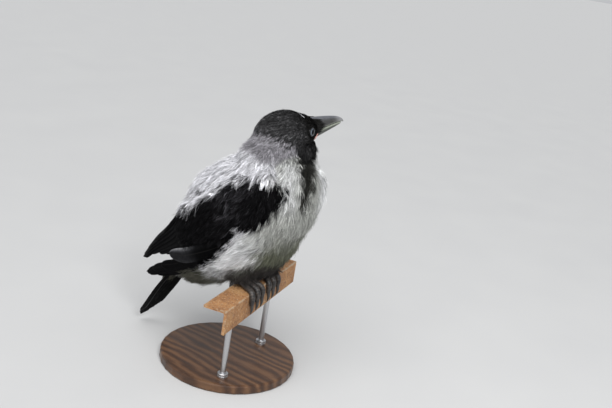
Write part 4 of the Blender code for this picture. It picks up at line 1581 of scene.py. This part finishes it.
def scute_material():
    nodes = Nodes("foot_scutes")
    grain, dusty = nodes.noise(1100, 4), nodes.noise(240, 4, 0.6)
    plate = nodes.mix(nodes.span(dusty, 0.4, 0.65), (0.013, 0.012, 0.012), (0.060, 0.050, 0.044))
    colour = nodes.mix(nodes.span(nodes.attribute("band"), 0.2, 0.8), (0.004, 0.004, 0.004), plate)
    colour = nodes.shaded(colour, nodes.swing(grain, 0.7, 1.4))
    return nodes.grained(colour, grain, (0.4, 0.6), 0.4)


def rail_middle(y):
    return -math.tan(math.radians(RAIL_SKEW)) * y


def toe_paths(side):
    """Each toe's path over the rail's edge, on the left (1) or the right (-1)."""
    foot = side * FOOT_Y
    half = RAIL_SIDE / 2 / math.cos(math.radians(RAIL_SKEW))
    lie = TOE_RADIUS + GAP
    paths = {}
    for name, spread in TOES.items():
        spread = side * spread
        end = foot + spread
        edge = rail_middle(end) + half
        paths[name] = [(FOOT_X - 2, foot, lie + 2), (FOOT_X + 4, foot + spread * 0.45, lie + 0.6),
                       (edge - 1.5, end - spread * 0.12, lie), (edge + lie - 0.4, end, -1.5),
                       (edge + lie, end, -10.5)]
    rear, end = rail_middle(foot) - half, foot + side * 2
    paths["hind"] = [(FOOT_X + 1, foot, lie + 1.4), (rear + 3, end, lie),
                     (rear - lie + 0.6, end, -1.5), (rear - lie, end, -8)]
    return paths


def tapered(path, radii, count):
    """A smooth line through a few places, and its radius at each of its points."""
    rows = smooth([(*place, radius) for place, radius in zip(path, radii)], count)
    return rows[:, :3], rows[:, 3]


def scaled_tube(path, radii, pitch, sides=18):
    """A toe or shank with a step at each scute; also gives each point's height on its scute."""
    line, radii = tapered(path, radii, 90)
    band = np.sin(np.pi * (run_lengths(line) / pitch % 1)) ** 0.5
    shape = tube(line, radii * (0.93 + 0.09 * band), sides, (0.05, 1, 0.03))
    return shape, [0, *np.repeat(band, sides), 0]


def build_claw(word, name, tip, material):
    """A hooked claw from the last place of a toe."""
    x, y, z = tip
    out = -1 if name == "hind" else 1
    hook = [(x, y, z + 1.5), (x + out * 0.6, y, z - 1), (x + out * 0.9, y, z - CLAW_LENGTH / 2),
            (x - out * 0.2, y, z - CLAW_LENGTH)]
    line, radii = tapered(hook, (1.7, 1.75, 1.25, 0.2), 24)
    points, faces = tube(line, radii, 14, (0, 1, 0))
    claw = mesh_piece(f"talon_{word}_{name}", points, faces, material)
    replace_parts(claw, f"claw_{word}_{name}")


def build_feet():
    scutes = scute_material()
    horn = two_tone("claw_horn", (600, 4, 0.5, (2.0, 2.0, 0.4)), (0.012, 0.012, 0.013),
                    (0.05, 0.048, 0.045), (0.25, 0.4), 0.2)
    for word, side in SIDES:
        parts = []
        for name, path in toe_paths(side).items():
            radii = [TOE_RADIUS + 0.4] + [TOE_RADIUS] * (len(path) - 2) + [TOE_RADIUS * 0.75]
            parts.append(scaled_tube(path, radii, SCUTE_PITCH))
            build_claw(word, name, path[-1], horn)
        y = side * FOOT_Y
        shank = [(FOOT_X, y, 4.5), (FOOT_X - 0.5, y, 9), (FOOT_X - 5, y + side, 13),
                 (FOOT_X - 13, y + 2 * side, 19)]
        parts.append(scaled_tube(shank, (3.2, 3.1, 2.8, 3.0), SHANK_PITCH))
        points, faces = joined([shape for shape, _ in parts])
        foot = mesh_piece("scaled_foot_" + word, points, faces, scutes)
        point_attribute(foot.data, "band", np.concatenate([band for _, band in parts]))
        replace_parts(foot, "foot_" + word, "tarsus_" + word)


# The perch and the stand -----------------------------------------------------------------------------


def rust_material():
    nodes = Nodes("rusty_steel")
    fine, pits = nodes.noise(420, 6, 0.7), nodes.noise(1300, 3, 0.6)
    colour = nodes.ramp(nodes.noise(35, 5, 0.6), (0.3, (0.15, 0.06, 0.024)),
                        (0.5, (0.36, 0.18, 0.07)), (0.72, (0.54, 0.34, 0.15)))
    patchy = nodes.span(nodes.noise(90, 3), 0.35, 0.6, 0.35, 1.0)
    worn = nodes.times(nodes.attribute("wear"), patchy)
    bare = nodes.span(nodes.sum(worn, nodes.swing(fine, -0.75, 0.2)), 0.3, 0.8)
    for share, tone in (
            (nodes.span(fine, 0.4, 0.7), (0.42, 0.205, 0.08)),
            (nodes.span(pits, 0.55, 0.72), (0.09, 0.035, 0.018)),
            (nodes.span(nodes.noise(240, 6, 0.8), 0.5, 0.62, 0.0, 0.7), (0.12, 0.05, 0.025)),
            (nodes.span(nodes.noise(500, 4, 0.7), 0.56, 0.66, 0.0, 0.75), (0.60, 0.44, 0.29)),
            (bare, (0.42, 0.33, 0.23))):
        colour = nodes.mix(share, colour, tone)
    height = nodes.sum(fine, nodes.times(pits, 0.6))
    return nodes.finish(Base_Color=colour, Roughness=nodes.swing(fine, 0.62, 0.9),
                        Metallic=nodes.times(bare, 0.15),
                        Normal=nodes.bump(height, 0.7, 0.0006))


def rail_outline():
    """The angle's section with its corners rounded, and how worn each of its points is."""
    half, wall = RAIL_SIDE / 2, RAIL_WALL
    corners = np.array([(-half, 0), (half, 0), (half, -RAIL_SIDE), (half - wall, -RAIL_SIDE),
                        (half - wall, -wall), (-half, -wall)])
    inner = 4
    outline, wear = [], []
    for k, corner in enumerate(corners):
        before, after = corners[k - 1], corners[(k + 1) % len(corners)]
        size = RAIL_FILLET if k == inner else RAIL_ROUND
        a, b = corner + unit(before - corner) * size, corner + unit(after - corner) * size
        for t in np.linspace(0, 1, 5):
            outline.append((1 - t) ** 2 * a + 2 * t * (1 - t) * corner + t * t * b)
            wear.append(0.0 if k == inner else 1.0 if corner[1] == 0 else 0.6)
        steps = max(1, int((np.linalg.norm(after - corner) - RAIL_FILLET - RAIL_ROUND) / 2.5))
        for i in range(1, steps):
            outline.append(mixed(b, after + unit(corner - after) * RAIL_ROUND, i / steps))
            wear.append(0.0)
    return np.array(outline), np.array(wear)


def build_rail():
    """The steel angle again, its sawn ends square and its edges rounded and chipped by wear."""
    outline, wear = rail_outline()
    rows = 70
    y = np.repeat(np.linspace(-RAIL_LENGTH / 2, RAIL_LENGTH / 2, rows), len(outline))
    x, z = np.tile(outline.T, rows)
    wear = np.tile(wear, rows)
    points = np.column_stack([x, y, z])
    chips = RAIL_CHIPS * (wear > 0)
    points[:, 2] -= chips * np.abs(wave(points, 7, 21))
    points[:, 0] -= chips * np.abs(wave(points, 5, 22)) * np.sign(points[:, 0])
    turn = np.array(Matrix.Rotation(math.radians(RAIL_SKEW), 3, "Z"))
    rail = outward(mesh_piece("stand_rusty_rail", points @ turn.T, flat_ended(rows, len(outline)),
                              rust_material()))
    rail.data.set_sharp_from_angle(angle=math.radians(50))
    ends = np.abs(y) / (RAIL_LENGTH / 2) > 0.985
    point_attribute(rail.data, "wear", np.maximum(wear, ends * 0.5))
    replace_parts(rail, "stand_perch_rail")


def wood_material():
    nodes = Nodes("stained_wood")
    grain, pores = nodes.noise(60, 6, 0.6, (0.3, 4.0, 4.0)), nodes.noise(900, 3, 0.6, (0.15, 2.5, 2.5))
    rings = nodes.add("TexWave", {"bands_direction": "Y"}, Vector=nodes.place((0.4, 1.0, 1.0)),
                      Scale=28.0, Distortion=9.0, Detail=4.0).outputs["Fac"]
    figure = nodes.sum(nodes.times(rings, 0.45), nodes.times(grain, 0.55))
    colour = nodes.ramp(figure, (0.2, (0.035, 0.015, 0.007)), (0.55, (0.085, 0.038, 0.017)),
                        (0.85, (0.15, 0.075, 0.034)))
    colour = nodes.mix(nodes.span(pores, 0.58, 0.72), colour, (0.02, 0.009, 0.005))
    return nodes.finish(Base_Color=colour, Roughness=nodes.swing(grain, 0.32, 0.48),
                        Normal=nodes.bump(pores, 0.25, 0.0002))


def collar_shape(centre, sides=40):
    """A small turned collar with a groove round it."""
    profile = np.array(((1, 0), (1, 0.35), (0.9, 0.45), (1, 0.55), (1, 0.85), (0.85, 1)))
    path = centre + profile[:, 1:] * (0, 0, COLLAR_HEIGHT)
    across, above = np.eye(3)[:2, None]
    rings = round_rings(path, profile[:, 0] * COLLAR_RADIUS, across, above, sides)
    return rings.reshape(-1, 3), flat_ended(len(profile), sides)


def finish_stand():
    steel = two_tone("brushed_rod", (300, 3, 0.6, (6.0, 6.0, 0.15)), (0.42, 0.42, 0.43),
                     (0.62, 0.62, 0.63), (0.25, 0.42), 0.15, 0.0001, Metallic=1.0)
    for name, material in (("stand_base", wood_material()), ("stand_rod_a", steel),
                           ("stand_rod_b", steel)):
        materials = frame["nodes"][name].data.materials
        materials.clear()
        materials.append(material)
    for word in ("a", "b"):
        low, high = np.array(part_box("stand_rod_" + word))
        x, y, _ = (low + high) / 2
        points, faces = collar_shape(local((x, y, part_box("stand_base")[1][2])))
        collar = outward(mesh_piece("stand_collar_" + word, points, faces, steel))
        collar.data.set_sharp_from_angle(angle=math.radians(35))


# The studio and the camera ------------------------------------------------------------------------------


def build_floor():
    nodes = Nodes("studio_floor")
    grain = nodes.noise(9, 3)
    colour = nodes.mix(grain, (0.50, 0.50, 0.50), (0.53, 0.53, 0.525))
    mesh = bpy.data.meshes.new("floor")
    turn = np.arange(64) * 2 * math.pi / 64
    edge = np.column_stack([FLOOR_RADIUS * np.cos(turn), FLOOR_RADIUS * np.sin(turn),
                            np.full(len(turn), CAD_BOX[0][2])])
    mesh.from_pydata(edge.tolist(), [], [tuple(range(len(turn)))])
    mesh.materials.append(nodes.finish(Base_Color=colour, Roughness=nodes.swing(grain, 0.7, 0.85)))
    placed("floor", mesh)


def build_studio():
    build_floor()
    sky = bpy.data.worlds.new("studio")
    sky.use_nodes = True
    light = sky.node_tree.nodes["Background"].inputs
    light["Color"].default_value, light["Strength"].default_value = (0.95, 0.97, 1.0, 1), SKY_LIGHT
    bpy.context.scene.world = sky
    lamp("overhead", "SUN", OVERHEAD_WAY, OVERHEAD_LIGHT).angle = math.radians(60)
    catch = lamp("catch", "AREA", CATCH_PLACE, CATCH_LIGHT)
    catch.shape, catch.size = "DISK", 0.25
    bpy.context.scene.view_settings.view_transform = "Standard"


def lamp(name, kind, place, power):
    """A light that shines from a place towards the bird; gives its data."""
    light = bpy.data.lights.new(name, kind)
    light.energy = power
    holder = placed(name, light)
    holder.location = Vector(world(place))
    holder.rotation_euler = Vector(place).to_track_quat("Z", "Y").to_euler()
    return light


def build_camera():
    azimuth, rise, roll = (math.radians(a) for a in (CAMERA_AZIMUTH, CAMERA_RISE, CAMERA_ROLL))
    data = bpy.data.cameras.new("camera")
    data.lens, data.sensor_width = CAMERA_LENS, CAMERA_SENSOR
    camera = placed("camera", data)
    camera.matrix_world = (
        Matrix.Translation(world(CAMERA_PLACE)) @ Matrix.Rotation(azimuth, 4, "Z")
        @ Matrix.Rotation(math.pi / 2 - rise, 4, "X") @ Matrix.Rotation(roll, 4, "Z"))
    bpy.context.scene.camera = camera


def main():
    build_camera()
    build_studio()
    grow_coat(Skin())
    build_bristles()
    grow_lashes()
    grow_cheeks()
    grow_leg_fuzz()
    grow_flecks()
    pick, feather = picker("feathers"), vane_material()
    for word, side in SIDES:
        build_wing(word, side, feather, pick)
    build_tail(feather, pick)
    build_bill()
    build_eyes()
    build_feet()
    build_rail()
    finish_stand()


main()
